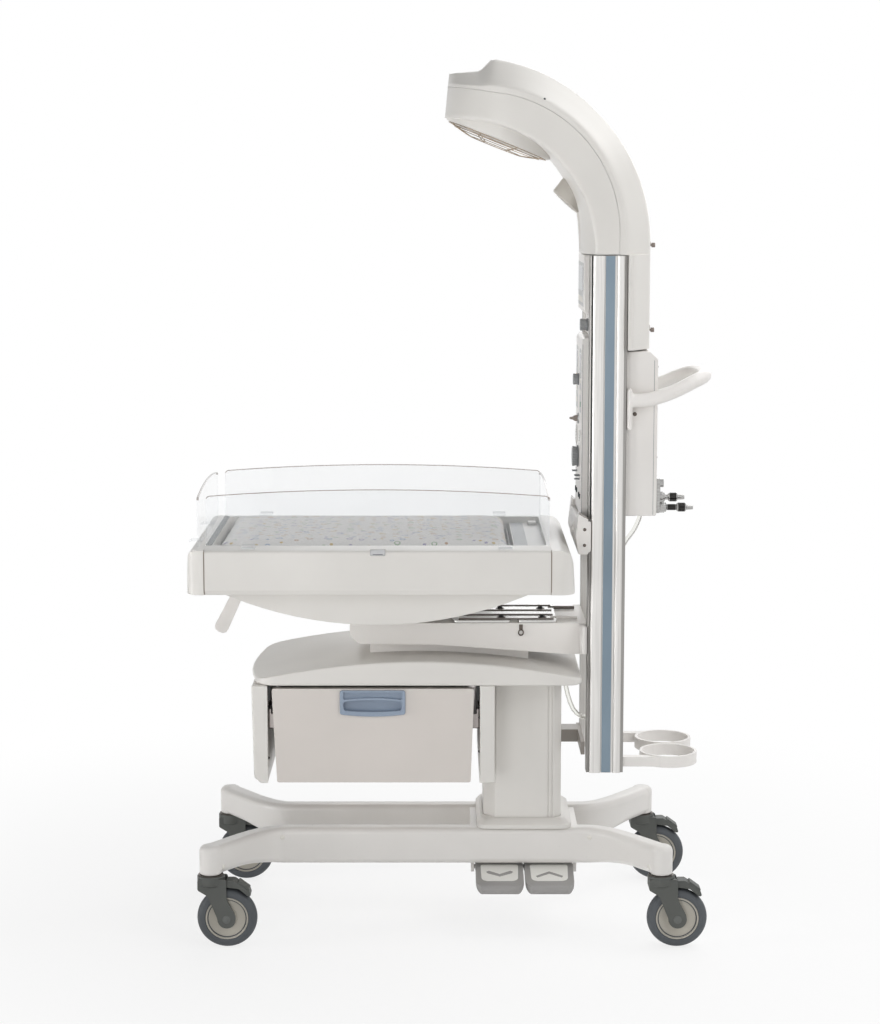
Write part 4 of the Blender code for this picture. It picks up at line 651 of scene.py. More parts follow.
def base_rail(name, side):
    """Swept bar with a boss over each of its two stems."""
    stops = []
    for x0, x1 in ((RAIL_BENDS[0][1], RAIL_BENDS[0][0]), RAIL_BENDS[1]):
        stops += [x0 + (x1 - x0) * k / 36.0 for k in range(37)]
    forms = [loft([rail_ring(x, side) for x in stops])]
    r, top, low = RAIL_T / 2.0 + BOSS_PROUD, RAIL_TOP + BOSS_PROUD, RAIL_LOW[1]
    turn = [math.pi / 2.0 * k / 6.0 for k in range(7)]
    boss = [(0.0, low)] + [(r - BOSS_FOOT_R + BOSS_FOOT_R * math.sin(a),
                            low + BOSS_FOOT_R - BOSS_FOOT_R * math.cos(a)) for a in turn]
    boss += [(r - BOSS_TOP_R + BOSS_TOP_R * math.cos(a),
              top - BOSS_TOP_R + BOSS_TOP_R * math.sin(a)) for a in turn] + [(0.0, top)]
    forms += [lathe(boss, (x, side * RAIL_Y[1], 0.0), steps=56) for x in (RAIL_BENDS[0][1], RAIL_BENDS[1][1])]
    finished(name, joined(*forms), POWDER_WHITE, 50.0)


base_rail("base_rail_near", -1)
base_rail("base_rail_far", 1)

# White snap plugs over the rail bolts, standing a little proud of the paint
plugs = []
for side in (-1, 1):
    for x, z in ((-0.345, 0.2), (0.328, 0.2), (-0.474, 0.172), (0.458, 0.172)):
        out = Vector((-rail_slope(x), 1.0)).normalized()
        face = Vector((x, rail_place(x)[0])) + out * (RAIL_T / 2.0 - 0.0002)
        plugs.append(lathe([(0.0, -0.001), (0.0052, -0.001), (0.0052, 0.0006), (0.004, 0.0018),
                            (0.0, 0.0024)], (face.x, face.y * side, z), (out.x, out.y * side, 0.0), 24))
stand("rail_plugs", joined(*plugs), CREAM_NYLON, "base")

# Casters: strap fork, brake lever, cast tyre, moulded hub, race and axle caps

STEM_X = {"l": -0.483, "r": 0.466}
STEM_Y = {"n": -0.247, "f": 0.247}
WHEEL_R, WHEEL_HALF, FORK_HALF = 0.0635, 0.016, 0.023
FORK_SLOT = WHEEL_HALF + 0.0015
STRAP = ((-0.0265, 0.15, 0.004), (0.034, 0.15, 0.005), (0.034, 0.106, 0.03), (0.0532, 0.072, 0.03),
         (0.0532, 0.0445, 0.0187), (0.015, 0.0445, 0.0187), (0.015, 0.064, 0.03), (-0.005, 0.114, 0.014),
         (-0.0265, 0.127, 0.005))


def both_sides(side):
    """Closed (radius, height) profile from its upper half."""
    return side + [(r, -h) for r, h in side[::-1]]


def fork_form(x, y, axle):
    """Round crown and two straps that lean back to the axle, with room for the wheel and the lever."""
    view = rounded([(x + a, b, r) for a, b, r in STRAP], 6)
    r, top, low = 0.0285, 0.156, 0.132
    crown = [(0.0, top), (r - 0.003, top), (r - 0.001, top - 0.001), (r, top - 0.003), (r, low + 0.0045),
             (r - 0.005, low), (0.0, low)]
    slot_y = (y - FORK_SLOT, y + FORK_SLOT)
    form = carved(slab(view, y - FORK_HALF, y + FORK_HALF, "Y"),
                  ("UNION", lathe(crown, (x, y, 0.0), steps=48)),
                  ("DIFFERENCE", lathe(rod(WHEEL_R + 0.003, -FORK_SLOT, FORK_SLOT), axle, FAR, 64)),
                  ("DIFFERENCE", block((x + 0.029, x + 0.12), slot_y, (0.06, 0.16))),
                  ("DIFFERENCE", block((x - 0.05, x + 0.12), slot_y, (0.03, 0.09))))
    pin = rod(0.006, -FORK_HALF, FORK_HALF)
    return joined(settled(form, rounding(0.0011, 2, 35.0)), lathe(pin, axle, FAR, 24))


def caster_finish(tag):
    """All the pieces of one caster; tag is near or far, then left or right."""
    x, y = STEM_X[tag[1]], STEM_Y[tag[0]]
    axle = (x + 0.034, y, WHEEL_R)
    w = WHEEL_HALF
    tyre = both_sides([(0.0455, w - 0.0014), (0.0472, w - 0.0006), (0.053, w - 0.0012), (0.0582, w - 0.0036),
                       (0.0615, w - 0.0074), (0.063, w - 0.0115), (WHEEL_R, w - 0.0145)])
    # Thin tyre-grey ring in the step of the hub face on each side: painted shade of that step
    hub_step_shade = [(0.0392, w - 0.0052), (0.0414, w - 0.0052), (0.0414, w - 0.0036), (0.0392, w - 0.0036)]
    rubber = joined(lathe(tyre, axle, FAR, 72), lathe(hub_step_shade, axle, FAR, 64), lathe(hub_step_shade, axle, NEAR, 64))
    stand("tyre_" + tag, rubber, TYRE_GREY_AND_STEP_SHADE, "wheel_" + tag, ("caster_wheel_" + tag,))
    hub = both_sides([(0.0066, w - 0.0006), (0.0186, w - 0.0006), (0.0196, w - 0.0016), (0.0206, w - 0.0046),
                      (0.0394, w - 0.0046), (0.0412, w - 0.004), (0.0418, w - 0.0012), (0.0446, w - 0.0012),
                      (0.0453, w - 0.0022)])
    stand("hub_" + tag, lathe(hub, axle, FAR, 72), HUB_CREAM, "wheel_" + tag)
    finished("caster_fork_" + tag, fork_form(x, y, axle), GREY_NYLON, 35.0)
    view = [(0.031, 0.146, 0.005), (0.05, 0.146, 0.006), (0.082, 0.124, 0.006), (0.086, 0.112, 0.003),
            (0.0785, 0.1122, 0.002), (0.06, 0.1275, 0.006), (0.031, 0.1315, 0.004)]
    lever = slab(rounded([(x + a, b, r) for a, b, r in view], 4), y - 0.0164, y + 0.0164, "Y", 0.0012, 2)
    tread = slab(rounded([(x + 0.056, 0.1395, 0.002), (x + 0.0605, 0.144, 0.002), (x + 0.0835, 0.127, 0.003),
                          (x + 0.0805, 0.1225, 0.002)], 4), y - 0.015, y + 0.015, "Y", 0.0008, 2)
    finished("caster_brake_" + tag, joined(lever, tread), GREY_NYLON, 40.0)
    cap = [(0.0, FORK_HALF - 0.003), (0.0086, FORK_HALF - 0.003), (0.0086, FORK_HALF + 0.0002),
           (0.0076, FORK_HALF + 0.001), (0.0, FORK_HALF + 0.0012)]
    stand("axle_caps_" + tag, joined(lathe(cap, axle, NEAR, 32), lathe(cap, axle, FAR, 32)), AXLE_GREY,
          "caster_" + tag)
    race = [(0.0225, 0.1562), (0.0262, 0.1562), (0.0262, 0.157), (0.0225, 0.157)]
    stand("swivel_race_" + tag, lathe(race, (x, y, 0.0), UP, 48), SCREW_DARK, "base")


for tag in ("nl", "nr", "fl", "fr"):
    caster_finish(tag)

# Pedals: mid grey rubber boot with round lower corners, pale pad set in the tread, raised chevron on the pad

TREAD = (Vector((0.0, -0.096, 0.1335)), Vector((0.0, -0.19, 0.112)))
TREAD_DOWN = (TREAD[1] - TREAD[0]).normalized()
TREAD_OUT = Vector(HEAD).cross(-TREAD_DOWN).normalized()
for name, x, half, flip in (("pedal_down", 0.1285, 0.0515, 1.0), ("pedal_up", 0.2355, 0.0525, -1.0)):

    def lay(shape, low, high, width):
        """Plate on the tread; shape is in metres across and down the slope."""
        top = Vector((x, 0.0, 0.0)) + TREAD[0]
        rings = [[top + Vector((a, 0.0, 0.0)) + TREAD_DOWN * b + TREAD_OUT * h for a, b in shape]
                 for h in (low, high)]
        return settled(loft(rings), rounding(width, 2))

    corners = ((-half, 0.25, 0.0), (half, 0.25, 0.0), (half, 0.0919, 0.019), (-half, 0.0919, 0.019))
    frontal = rounded([(x + SHIFT + a, b, r) for a, b, r in corners], 8)
    boot = carved(cad_mesh(name), ("INTERSECT", slab(frontal, -0.3, 0.2, "Y")))
    finished(name, settled(boot, rounding(0.002, 3, 40.0)), PEDAL_RUBBER, 40.0, 0.0)
    pad = rounded([(-0.041, 0.004, 0.006), (0.041, 0.004, 0.006), (0.039, 0.074, 0.014),
                   (-0.039, 0.074, 0.014)], 6)
    stand(name + "_pad", lay(pad, -0.001, 0.0012, 0.0006), PAD_RUBBER, name)
    mid, wing, thick = 0.046, 0.029, 0.0095
    tip, peak = mid - flip * 0.009, mid + flip * 0.006
    arm = [(-wing, tip), (-wing + 0.006, tip - 0.0045), (0.0, peak - thick / 2.0),
           (wing - 0.006, tip - 0.0045), (wing, tip), (wing - 0.003, tip + 0.006),
           (0.0, peak + thick / 2.0), (-wing + 0.003, tip + 0.006)]
    stand(name + "_chevron", lay(arm, 0.0008, 0.0019, 0.0003), PEDAL_RUBBER, name)


# Heater arch: the CAD lines drawn with finer steps and a slimmer inner side

HEAD_SLOPE = math.radians(9.0)
ARCH_W, ARCH_FOOT = 0.145, 1.4515


def arch_line(start, radius, drop_x):
    """Side line of straight head, round bend and straight drop: its length, and its place at a distance."""
    start = Vector(start)
    along = Vector((math.cos(HEAD_SLOPE), -math.sin(HEAD_SLOPE)))
    corner = start + along * ((drop_x - start.x) / along.x)
    bend = math.pi / 2.0 - HEAD_SLOPE
    reach = radius * math.tan(bend / 2.0)
    head = (corner - start).length - reach
    centre = Vector((drop_x - radius, corner.y - reach))

    def at(distance):
        if distance <= head:
            return start + along * distance
        angle = (distance - head) / radius
        if angle <= bend:
            turn = bend - angle
            return centre + Vector((math.cos(turn), math.sin(turn))) * radius
        return Vector((drop_x, centre.y - (angle - bend) * radius))

    return head + radius * bend + centre.y - ARCH_FOOT, at


RIM = arch_line((0.01, 1.736), 0.27, 0.32)
SEAM = arch_line((0.016, 1.799), 0.29, 0.373)
TOP = arch_line((0.019, 1.87), 0.385, 0.444)
NOSE = [math.radians(3.0 + 87.0 * k / 22.0) for k in range(23)]
STATIONS = [(ARCH_W * (1.0 - math.cos(a)), None, ARCH_W * math.sin(a)) for a in NOSE]
STATIONS += [(ARCH_W, k / 44.0, ARCH_W) for k in range(1, 45)]


def along_line(line, near, share):
    """Distance along a line: near the nose as given, then a share of the rest."""
    return near if share is None else near + (line[0] - near) * share


def curve(points, steps):
    """Smooth run through points, as a chain of cubic pieces."""
    ends = [points[0] * 2.0 - points[1]] + points + [points[-1] * 2.0 - points[-2]]
    run = []
    for a, b, c, d in zip(ends, ends[1:], ends[2:], ends[3:]):
        for k in range(steps):
            t = k / steps
            run.append(0.5 * (b * 2.0 + (c - a) * t + (a * 2.0 - b * 5.0 + c * 4.0 - d) * t * t
                              + (b * 3.0 - a - c * 3.0 + d) * t * t * t))
    return run + [points[-1]]


def mirrored(half):
    """Closed ring from the near half of a section."""
    return half + [(x, -y, z) for x, y, z in half[::-1]]


def shell_ring(near, share, half):
    """Section of the shell, its inner side swelling below the rim line."""
    rim, seam = (line[1](along_line(line, near, share)) for line in (RIM, SEAM))
    up = (seam - rim).normalized()
    reach = along_line(RIM, near, share)
    bulge = 0.008 * ease((reach - 0.2) / 0.12) + 0.012 * ease((reach - RIM[0] + 0.16) / 0.14)
    side = [Vector((1.0, *(rim + up * 0.01))), Vector((0.985, *(rim + up * 0.003))), Vector((0.93, *rim)),
            Vector((0.7, *(rim - up * bulge * 0.55))), Vector((0.36, *(rim - up * bulge))),
            Vector((0.1, *(rim - up * bulge * 1.04)))]
    run = [Vector((1.0, *seam)), Vector((1.0, *(rim + up * 0.018)))] + curve(side, 4)
    return mirrored([(p.y, -half * p.x, p.z) for p in run])


def lip_drop(reach):
    """How far the cover lies below its top line: low front lip, then the rise to the hump."""
    if reach < 0.059:
        return 0.03 + 0.013 * (1.0 - reach / 0.059)
    return 0.03 * (1.0 - ease((reach - 0.059) / 0.036))


COVER_SIDE = ((0.0, 1.0), (0.1, 1.0), (0.24, 0.985), (0.5, 0.83), (0.8, 0.66), (0.95, 0.56), (1.0, 0.4),
              (1.004, 0.12))


def cover_ring(seam, top, half):
    """Section of the cover from its seam to its top line."""
    rise = top - seam
    run = curve([Vector((w, *(seam + rise * up))) for up, w in COVER_SIDE], 4)
    return mirrored([(p.y, -half * p.x, p.z) for p in run])


cover = []
for near, share, half in STATIONS:
    seam, top = (line[1](along_line(line, near, share)) for line in (SEAM, TOP))
    top.y -= lip_drop(along_line(TOP, near, share))
    seam += (top - seam).normalized() * 0.0006
    cover.append(cover_ring(seam, top, half))
for z in (1.45, 1.43, 1.2522):
    cover.append(cover_ring(Vector((0.3923, z)), Vector((0.444, z)), ARCH_W))
finished("arch_cover", loft(cover), WHITE_ABS, 42.0)

HEAT_AT = Vector((0.122, 0.0, 1.688))
HEAT_TILT = math.radians(21.5)
HEAT_DOWN = Vector((-math.sin(HEAT_TILT), 0.0, -math.cos(HEAT_TILT)))
HEATER_R, BEZEL_R = 0.1075, 0.1175
LAMP_AT = Vector((0.286135, 0.0, 1.580272))
LAMP_AIM = Vector((-0.675, 0.0, -0.738)).normalized()
LAMP_R = 0.0387
bezel = lathe([(0.0, -0.0002), (BEZEL_R - 0.005, -0.0002), (BEZEL_R - 0.0022, -0.0008),
               (BEZEL_R - 0.0006, -0.0024), (BEZEL_R, -0.005), (BEZEL_R + 0.006, -0.042), (0.0, -0.042)],
              HEAT_AT, HEAT_DOWN, 96)
room = lathe(rod(HEATER_R, 0.02, -0.052), HEAT_AT, HEAT_DOWN, 96)
dome = [(LAMP_R * math.sin(a), -LAMP_R * math.cos(a)) for a in (math.pi / 2.0 * k / 14.0 for k in range(15))]
socket = lathe(dome + [(0.095, 0.08), (0.0, 0.08)], LAMP_AT, LAMP_AIM, 64)
shell = carved(loft([shell_ring(*row) for row in STATIONS]), ("UNION", bezel), ("DIFFERENCE", room),
               ("DIFFERENCE", socket))
finished("arch_shell", shell, WHITE_ABS, 34.0)
dress("heater_reflector", REFLECTOR_ALU)
dress("heater_element", ELEMENT_TUBE)


def wire_tree(tree, into):
    """Round wire along every edge of a line mesh."""
    lines = node(tree, "GeometryNodeMeshToCurve", {"Mesh": (into, "Geometry")})
    section = node(tree, "GeometryNodeCurvePrimitiveCircle", {"Resolution": 10, "Radius": (into, "Wire")})
    return (node(tree, "GeometryNodeCurveToMesh", {"Curve": (lines, 0), "Profile Curve": (section, 0),
                                                    "Fill Caps": True}), 0)


def wires(name, runs, radius, mat, body, nodes=()):
    """Bent wires along runs of points; a run that ends where it starts is a ring."""
    spots, edges = [], []
    for run in runs:
        ring = (run[0] - run[-1]).length < 1e-6
        points = run[:-1] if ring else run
        first = len(spots)
        spots += points
        edges += [(first + k, first + k + 1) for k in range(len(points) - 1)]
        if ring:
            edges.append((first + len(points) - 1, first))
    seeds = bpy.data.meshes.new(name)
    seeds.from_pydata([tuple(s) for s in spots], edges, [])
    return stand(name, grow(name, wire_tree, seeds, {"Wire": radius, "Material": mat}), mat, body,
                 nodes, 60.0)


# Guard: three rings and eight spokes of bent wire over the heater mouth
GUARD_R, GUARD_MID_R, GUARD_HUB_R = 0.1105, 0.096, 0.06
GUARD_SAG, GUARD_FOOT, GUARD_WIRE = 0.0165, 0.0012, 0.0009
heat_turn = HEAT_DOWN.to_track_quat("Z", "Y").to_matrix()


def on_guard(r, a):
    """Place on the domed guard at a radius and an angle."""
    lift = GUARD_FOOT + GUARD_SAG * (1.0 - (r / GUARD_R) ** 2)
    return HEAT_AT + heat_turn @ Vector((r * math.cos(a), r * math.sin(a), lift))


rings = [[on_guard(r, 2.0 * math.pi * k / 72.0) for k in range(73)]
         for r in (GUARD_R, GUARD_MID_R, GUARD_HUB_R)]
spokes = [[on_guard(GUARD_HUB_R + (GUARD_R - GUARD_HUB_R) * k / 8.0, math.pi * (s + 0.5) / 4.0)
           for k in range(9)] for s in range(8)]
wires("heater_guard_finish", rings + spokes, GUARD_WIRE, WIRE_STEEL, "carriage", ("heater_guard",))

# Examination light: moulded ball with a pressed lens let into its front
dress("exam_light", LAMP_BEIGE, 0.0012)
lens = lathe([(0.0, 0.0285), (0.0262, 0.0285), (0.0262, 0.0302), (0.024, 0.0312), (0.0, 0.0322)], LAMP_AT,
             LAMP_AIM, 48)
stand("exam_light_lens", lens, LENS_GLASS, "exam_light")

# Knurled thumb screws on the rear cover, and the cover's side screws
thumbs = []
for z in (1.469, 1.29):
    for y in (-0.05, 0.05):
        thumbs.append(lathe([(0.0, -0.004), (0.0022, -0.004), (0.0022, 0.003), (0.0046, 0.0032),
                             (0.005, 0.004), (0.005, 0.01), (0.0046, 0.0106), (0.0, 0.0106)], (0.444, y, z),
                            HEAD, 20))
stand("rear_thumb_screws", joined(*thumbs), SCREW_ROSE, "carriage")
screws("cover_side_screws", [((0.2155, y, 1.77), (0.25, 1.0 if y > 0 else -1.0, 0.35))
                             for y in (-0.1432, 0.1432)], 0.0026, 0.0012, MARK_DARK, "carriage")


# Bed: pan, caps, clear walls, latch and lever

for name in ("bed_pan", "bed_cap_foot", "bed_cap_head"):
    dress(name, WHITE_ABS, 0.0012, 2, 50.0)
dress("tilt_lever", LIT_WHITE_ABS)

# Joint lines between the pan and its end caps: fine dark strips round the skirt, painted shade of the narrow
# gaps there
BED_RING = [(-0.2646, 0.756), (-0.26535, 0.765), (-0.26535, 0.844), (-0.264, 0.848), (0.264, 0.848),
            (0.26535, 0.844), (0.26535, 0.765), (0.2646, 0.756)]
gap_shades = [slab(BED_RING, x - 0.001, x + 0.001, "X") for x in (-0.48715, 0.23015)]
stand("bed_cap_gap_shades", joined(*gap_shades), GAP_SHADE_TAUPE, "bed")

# Walls: faint film on the faces, browner light in the polished top edge, hinge leaves under three of them

KNUCKLE_Y, KNUCKLE_X, FOOT_WALL_Z = 0.2685, -0.5285, 0.8483
LEAF_W, PIN_R, PIN_END = 0.03, 0.003, 0.0006
FACE_UP, EDGE_Z = 0.15, 0.9


def knuckle(at, axis):
    """Pin of a hinge leaf, from at along an axis."""
    return lathe(rod(PIN_R, PIN_END, LEAF_W - PIN_END), at, axis, 20)


def pane(name, axis, low, high, span, foot, heights, hinges=()):
    """Clear wall with an arched top edge; heights are at the ends and at the middle."""
    centre, half = (span[0] + span[1]) / 2.0, (span[1] - span[0]) / 2.0
    end, mid = foot + heights[0], foot + heights[1]
    places = [1.0 - k / 16.0 for k in range(1, 32)]
    corners = [(span[0], foot, 0.002), (span[1], foot, 0.002), (span[1], end, 0.009)]
    corners += [(centre + half * t, mid - (mid - end) * t * t, 0.0) for t in places]
    shape = rounded(corners + [(span[0], end, 0.009)], 5)
    wall = stand(name + "_pane", joined(slab(shape, low, high, axis, 0.0016), *hinges), ACRYLIC,
                 NODE_BODY[name], (name,))
    second(wall, ACRYLIC_EDGE, lambda face: face.normal.z > FACE_UP and face.center.z > EDGE_Z)


for name, side in (("panel_near", -1), ("panel_far", 1)):
    leaves = []
    for x in (-0.41, 0.12):
        reach = sided(side, 0.2215, KNUCKLE_Y)
        leaves.append(block((x, x + LEAF_W), reach, (0.8527, 0.8563), 0.0008))
        leaves.append(knuckle((x, side * KNUCKLE_Y, 0.8543), HEAD))
    pane(name, "Y", *sided(side, 0.22, 0.225), (-0.486, 0.227), 0.8523, (0.104, 0.118), leaves)
leaves = []
for y in (-0.14, 0.11):
    leaves.append(block((KNUCKLE_X, -0.5015), (y, y + LEAF_W), (FOOT_WALL_Z + 0.0004, FOOT_WALL_Z + 0.004),
                        0.0008))
    leaves.append(knuckle((KNUCKLE_X, y, FOOT_WALL_Z + 0.002), FAR))
pane("panel_foot", "X", -0.5055, -0.5005, (-0.2195, 0.2195), FOOT_WALL_Z, (0.104, 0.118), leaves)
pane("panel_head", "X", 0.2235, 0.2285, (-0.2195, 0.2195), 0.8523, (0.1, 0.11))

dress("side_latch", LATCH_GREY, 0.0008)
stand("side_latch_slot", block((-0.139, -0.118), (-0.2674, -0.266), (0.84, 0.8412), 0.0003), MARK_DARK,
      "side_latch")

# Mid grey strip along the foot rim, where the foot wall stands down into the pan: painted shade of that
# corner
rim_shade = rounded_box((-0.4868, -0.4745), (-0.215, 0.215), 0.003, 4)
stand("foot_rim_shade", slab(rim_shade, 0.8518, 0.8534, "Z", 0.0006), FOOT_RIM_SHADE_GREY, "bed")

# Grey sheet on the head-end ledge, painted shade standing in for a recess there, and the two posts that
# locate the head wall
ledge_shade = rounded_box((0.158, 0.186), (-0.212, 0.212), 0.006, 4)
stand("head_ledge_shade", slab(ledge_shade, 0.8374, 0.8388, "Z", 0.0004), LEDGE_SHADE_GREY, "bed")
posts = [block((0.196, 0.216), (y - 0.012, y + 0.012), (0.8374, 0.846), 0.003, 3) for y in (-0.185, 0.185)]
stand("head_wall_posts", joined(*posts), WHITE_ABS, "bed")

# Mattress: foam in a printed cover, swollen by a short cloth run from a slightly smaller block

MATTRESS = ((-0.47, 0.1515), 0.2135, (0.8006, 0.8565))
WELT_IN, WELT_Z = 0.002, 0.8265
SWELL, CLOTH_STEPS = 0.006, 20


def foam_block():
    """Block with soft corners, a little inside the space its solid holds."""
    (x0, x1), y, (low, high) = MATTRESS
    rings = []
    for up, inset, r in ((0.0, 0.008, 0.022), (0.1, 0.004, 0.024), (0.45, 0.003, 0.024), (0.76, 0.004, 0.024),
                         (0.88, 0.008, 0.026), (0.95, 0.016, 0.028), (0.975, 0.05, 0.04), (0.99, 0.12, 0.04)):
        ring = rounded_box((x0 + inset, x1 - inset), (inset - y, y - inset), r, 8)
        rings.append([(p, q, low + (high - low) * up) for p, q in ring])
    return loft(rings)


def swollen(mesh, cap):
    """Swell a closed mesh with cloth pressure, holding each point within cap of where it began."""
    holder = placed("foam", mesh)
    cloth = holder.modifiers.new("cloth", "CLOTH")
    cloth.settings.use_pressure = True
    cloth.settings.uniform_pressure_force = 4.0
    cloth.settings.quality = 4
    cloth.settings.effector_weights.gravity = 0.0
    cloth.point_cache.frame_end = CLOTH_STEPS
    for frame_no in range(1, CLOTH_STEPS + 1):
        scene.frame_set(frame_no)
    done = baked(holder)
    for old, new in zip(mesh.vertices, done.vertices):
        move = new.co - old.co
        if move.length > cap:
            new.co = old.co + move * (cap / move.length)
    scene.frame_set(1)
    return done


foam = settled(foam_block(), ("REMESH", {"mode": "VOXEL", "voxel_size": 0.006}))
foam = swollen(foam, SWELL)
(x0, x1), half_y, (low, high) = MATTRESS
for v in foam.vertices:
    v.co.x = max(x0, min(x1, v.co.x))
    v.co.y = max(-half_y, min(half_y, v.co.y))
    v.co.z = max(low, min(high + 0.004, v.co.z))
foam = settled(foam, ("SMOOTH", {"factor": 0.5, "iterations": 4}),
               ("SUBSURF", {"levels": 1, "render_levels": 1}))
mattress = stand("mattress_cover", foam, PRINTED_COVER, "bed", ("mattress",), 80.0)
welt_line = rounded_box((x0 + WELT_IN, x1 - WELT_IN), (WELT_IN - half_y, half_y - WELT_IN), 0.024, 8)
welt = [Vector((a, b, WELT_Z)) for a, b in welt_line]
wires("mattress_welt", [welt + welt[:1]], 0.0013, COVER_WELT, "bed")


# Mast: extruded rails with two rounded ribs, a blue strip between them, and a black strip in the front groove
# that is painted shade of the groove

RAIL = [(0.313, 0.1), (0.313, 0.1318), (0.3136, 0.133), (0.316, 0.1346), (0.3164, 0.131), (0.3186, 0.131),
        (0.319, 0.1352), (0.3196, 0.1378), (0.3212, 0.1393), (0.3235, 0.14), (0.3395, 0.14),
        (0.342, 0.1394), (0.3436, 0.138), (0.344, 0.1362), (0.3448, 0.1362), (0.3448, 0.1376),
        (0.365, 0.1376), (0.3653, 0.1352), (0.369, 0.1352), (0.3694, 0.1366), (0.37, 0.1382),
        (0.3716, 0.1395), (0.374, 0.14), (0.381, 0.14), (0.3834, 0.1394), (0.385, 0.138), (0.3856, 0.136),
        (0.3858, 0.134), (0.3905, 0.1336), (0.392, 0.1322), (0.392, 0.1)]
RIB_SPAN = (0.3192, 0.3857)
strips, groove_shades = [], []
for name, side in (("mast_rail_near", -1), ("mast_rail_far", 1)):
    rail = finished(name, slab([(x, side * d) for x, d in RAIL], 0.3472, 1.4493, "Z"), MAST_ALU, 28.0)
    # Faces outside the ribs take the darker copy: painted shade on the flanges and the front groove
    second(rail, MAST_FLANGE_SHADE, lambda face: not RIB_SPAN[0] < face.center.x - SHIFT < RIB_SPAN[1])
    strips.append(block((0.3452, 0.3646), sided(side, 0.1374, 0.1393), (0.3485, 1.4485), 0.0004))
    # Black strip filling the front groove: painted shade of that groove
    groove_shades.append(block((0.3165, 0.3186), sided(side, 0.1308, 0.1346), (0.896, 1.449), 0.0004))
stand("mast_strips", joined(*strips), STRIPE_BLUE, "carriage")
stand("mast_groove_shade", joined(*groove_shades), BLACK_EPDM_AND_GROOVE_SHADE, "carriage")

# Control panel and module on the mast front: fascia, windows, key caps and seams, with no wording

def fascia(name, mat, places, front, back, width=0.0006):
    """Plates on the mast front, each given as its spans in Y and Z."""
    plates = [block((front, back), y, z, width) for y, z in places]
    return stand(name, joined(*plates), mat, "carriage")


dress("control_panel", LIT_WHITE_ABS, 0.002)
dress("control_module", LIT_WHITE_ABS, 0.002)
fascia("panel_window", DISPLAY_GLASS, [((-0.078, 0.078), (1.372, 1.424))], 0.3008, 0.3024)
fascia("panel_overlay", FACE_GREY, [((-0.086, 0.086), (1.34, 1.432))], 0.3013, 0.3026)
keys = [((y - 0.0065, y + 0.0065), (1.348, 1.36)) for y in (-0.062, -0.031, 0.0, 0.031, 0.062)]
fascia("panel_keys", CREAM_NYLON, keys, 0.3002, 0.3018, 0.001)
fascia("module_overlay", FACE_GREY,
       [(sided(side, 0.03, 0.088), (1.115, 1.25)) for side in (-1, 1)], 0.2984, 0.2996)
fascia("module_windows", DISPLAY_GLASS,
       [(sided(side, 0.038, 0.08), (1.205, 1.24)) for side in (-1, 1)], 0.2979, 0.299)
keys = [((y - 0.006, y + 0.006), (z - 0.0055, z + 0.0055)) for y in (-0.071, -0.047, 0.047, 0.071)
        for z in (1.133, 1.158, 1.183)]
fascia("module_keys", CREAM_NYLON, keys[1:-1], 0.2972, 0.2988, 0.001)
fascia("module_key_green", SOFT_GREEN, keys[:1], 0.2972, 0.2988, 0.001)
fascia("module_key_amber", SOFT_AMBER, keys[-1:], 0.2972, 0.2988, 0.001)
tabs = [((-0.052, -0.034), (0.977, 0.9795)), ((-0.05, -0.036), (0.969, 0.9713)),
        ((0.034, 0.052), (0.977, 0.9795))]
fascia("module_tabs", KNOB_GREY, tabs, 0.288, 0.3, 0.0006)
sockets = [lathe([(0.003, 0.0), (0.0052, 0.0), (0.0056, 0.0006), (0.0056, 0.0026), (0.0044, 0.0026),
                  (0.003, 0.0004)], (0.2992, y, 0.936), FOOT, 28) for y in (-0.072, -0.04, 0.04, 0.072)]
stand("module_sockets", joined(*sockets), MARK_DARK, "carriage")
seams = [block((0.3006, 0.3014), sided(side, 0.099, 0.1), (0.9, 1.262)) for side in (-1, 1)]
stand("module_seams", joined(*seams), SEAL_GREY, "carriage")

# Two gauges beside the switch: white faces with dark marks and hands
GAUGE_Y, GAUGE_Z, MARK_R = 0.058, 1.056, 0.0145
ring = [(0.0, 0.0), (0.0195, 0.0), (0.0205, 0.0008), (0.0205, 0.0022), (0.019, 0.0026), (0.0178, 0.0012),
        (0.0, 0.0012)]
for name, side in (("gauge_near", -1), ("gauge_far", 1)):
    dial = lathe(ring, (0.2991, side * GAUGE_Y, GAUGE_Z), FOOT, 48)
    stand(name, dial, DIAL_WHITE, "carriage")
marks = []
for side in (-1, 1):
    for k in range(11):
        a = math.radians(-130.0 + 26.0 * k)
        y, z = side * GAUGE_Y + MARK_R * math.sin(a), GAUGE_Z + MARK_R * math.cos(a)
        marks.append(block((0.2974, 0.298), (y - 0.0005, y + 0.0005), (z - 0.0014, z + 0.0014)))
    marks.append(block((0.2972, 0.298), (side * GAUGE_Y - 0.0006, side * GAUGE_Y + 0.0006), (1.054, 1.068)))
stand("gauge_marks", joined(*marks), MARK_DARK, "carriage")


# Controls: fluted knobs on turned skirts, toggle in its bushing

def fluted(at, stations, flutes, steps=120):
    """Turned grip along -X whose flutes deepen with each station's last value."""
    rings = []
    for out, radius, depth in stations:
        ring = []
        for k in range(steps):
            a = 2.0 * math.pi * k / steps
            r = radius * (1.0 - depth * (0.5 + 0.5 * math.cos(flutes * a)) ** 2)
            ring.append((at[0] - out, at[1] + r * math.cos(a), at[2] + r * math.sin(a)))
        rings.append(ring)
    return loft(rings)


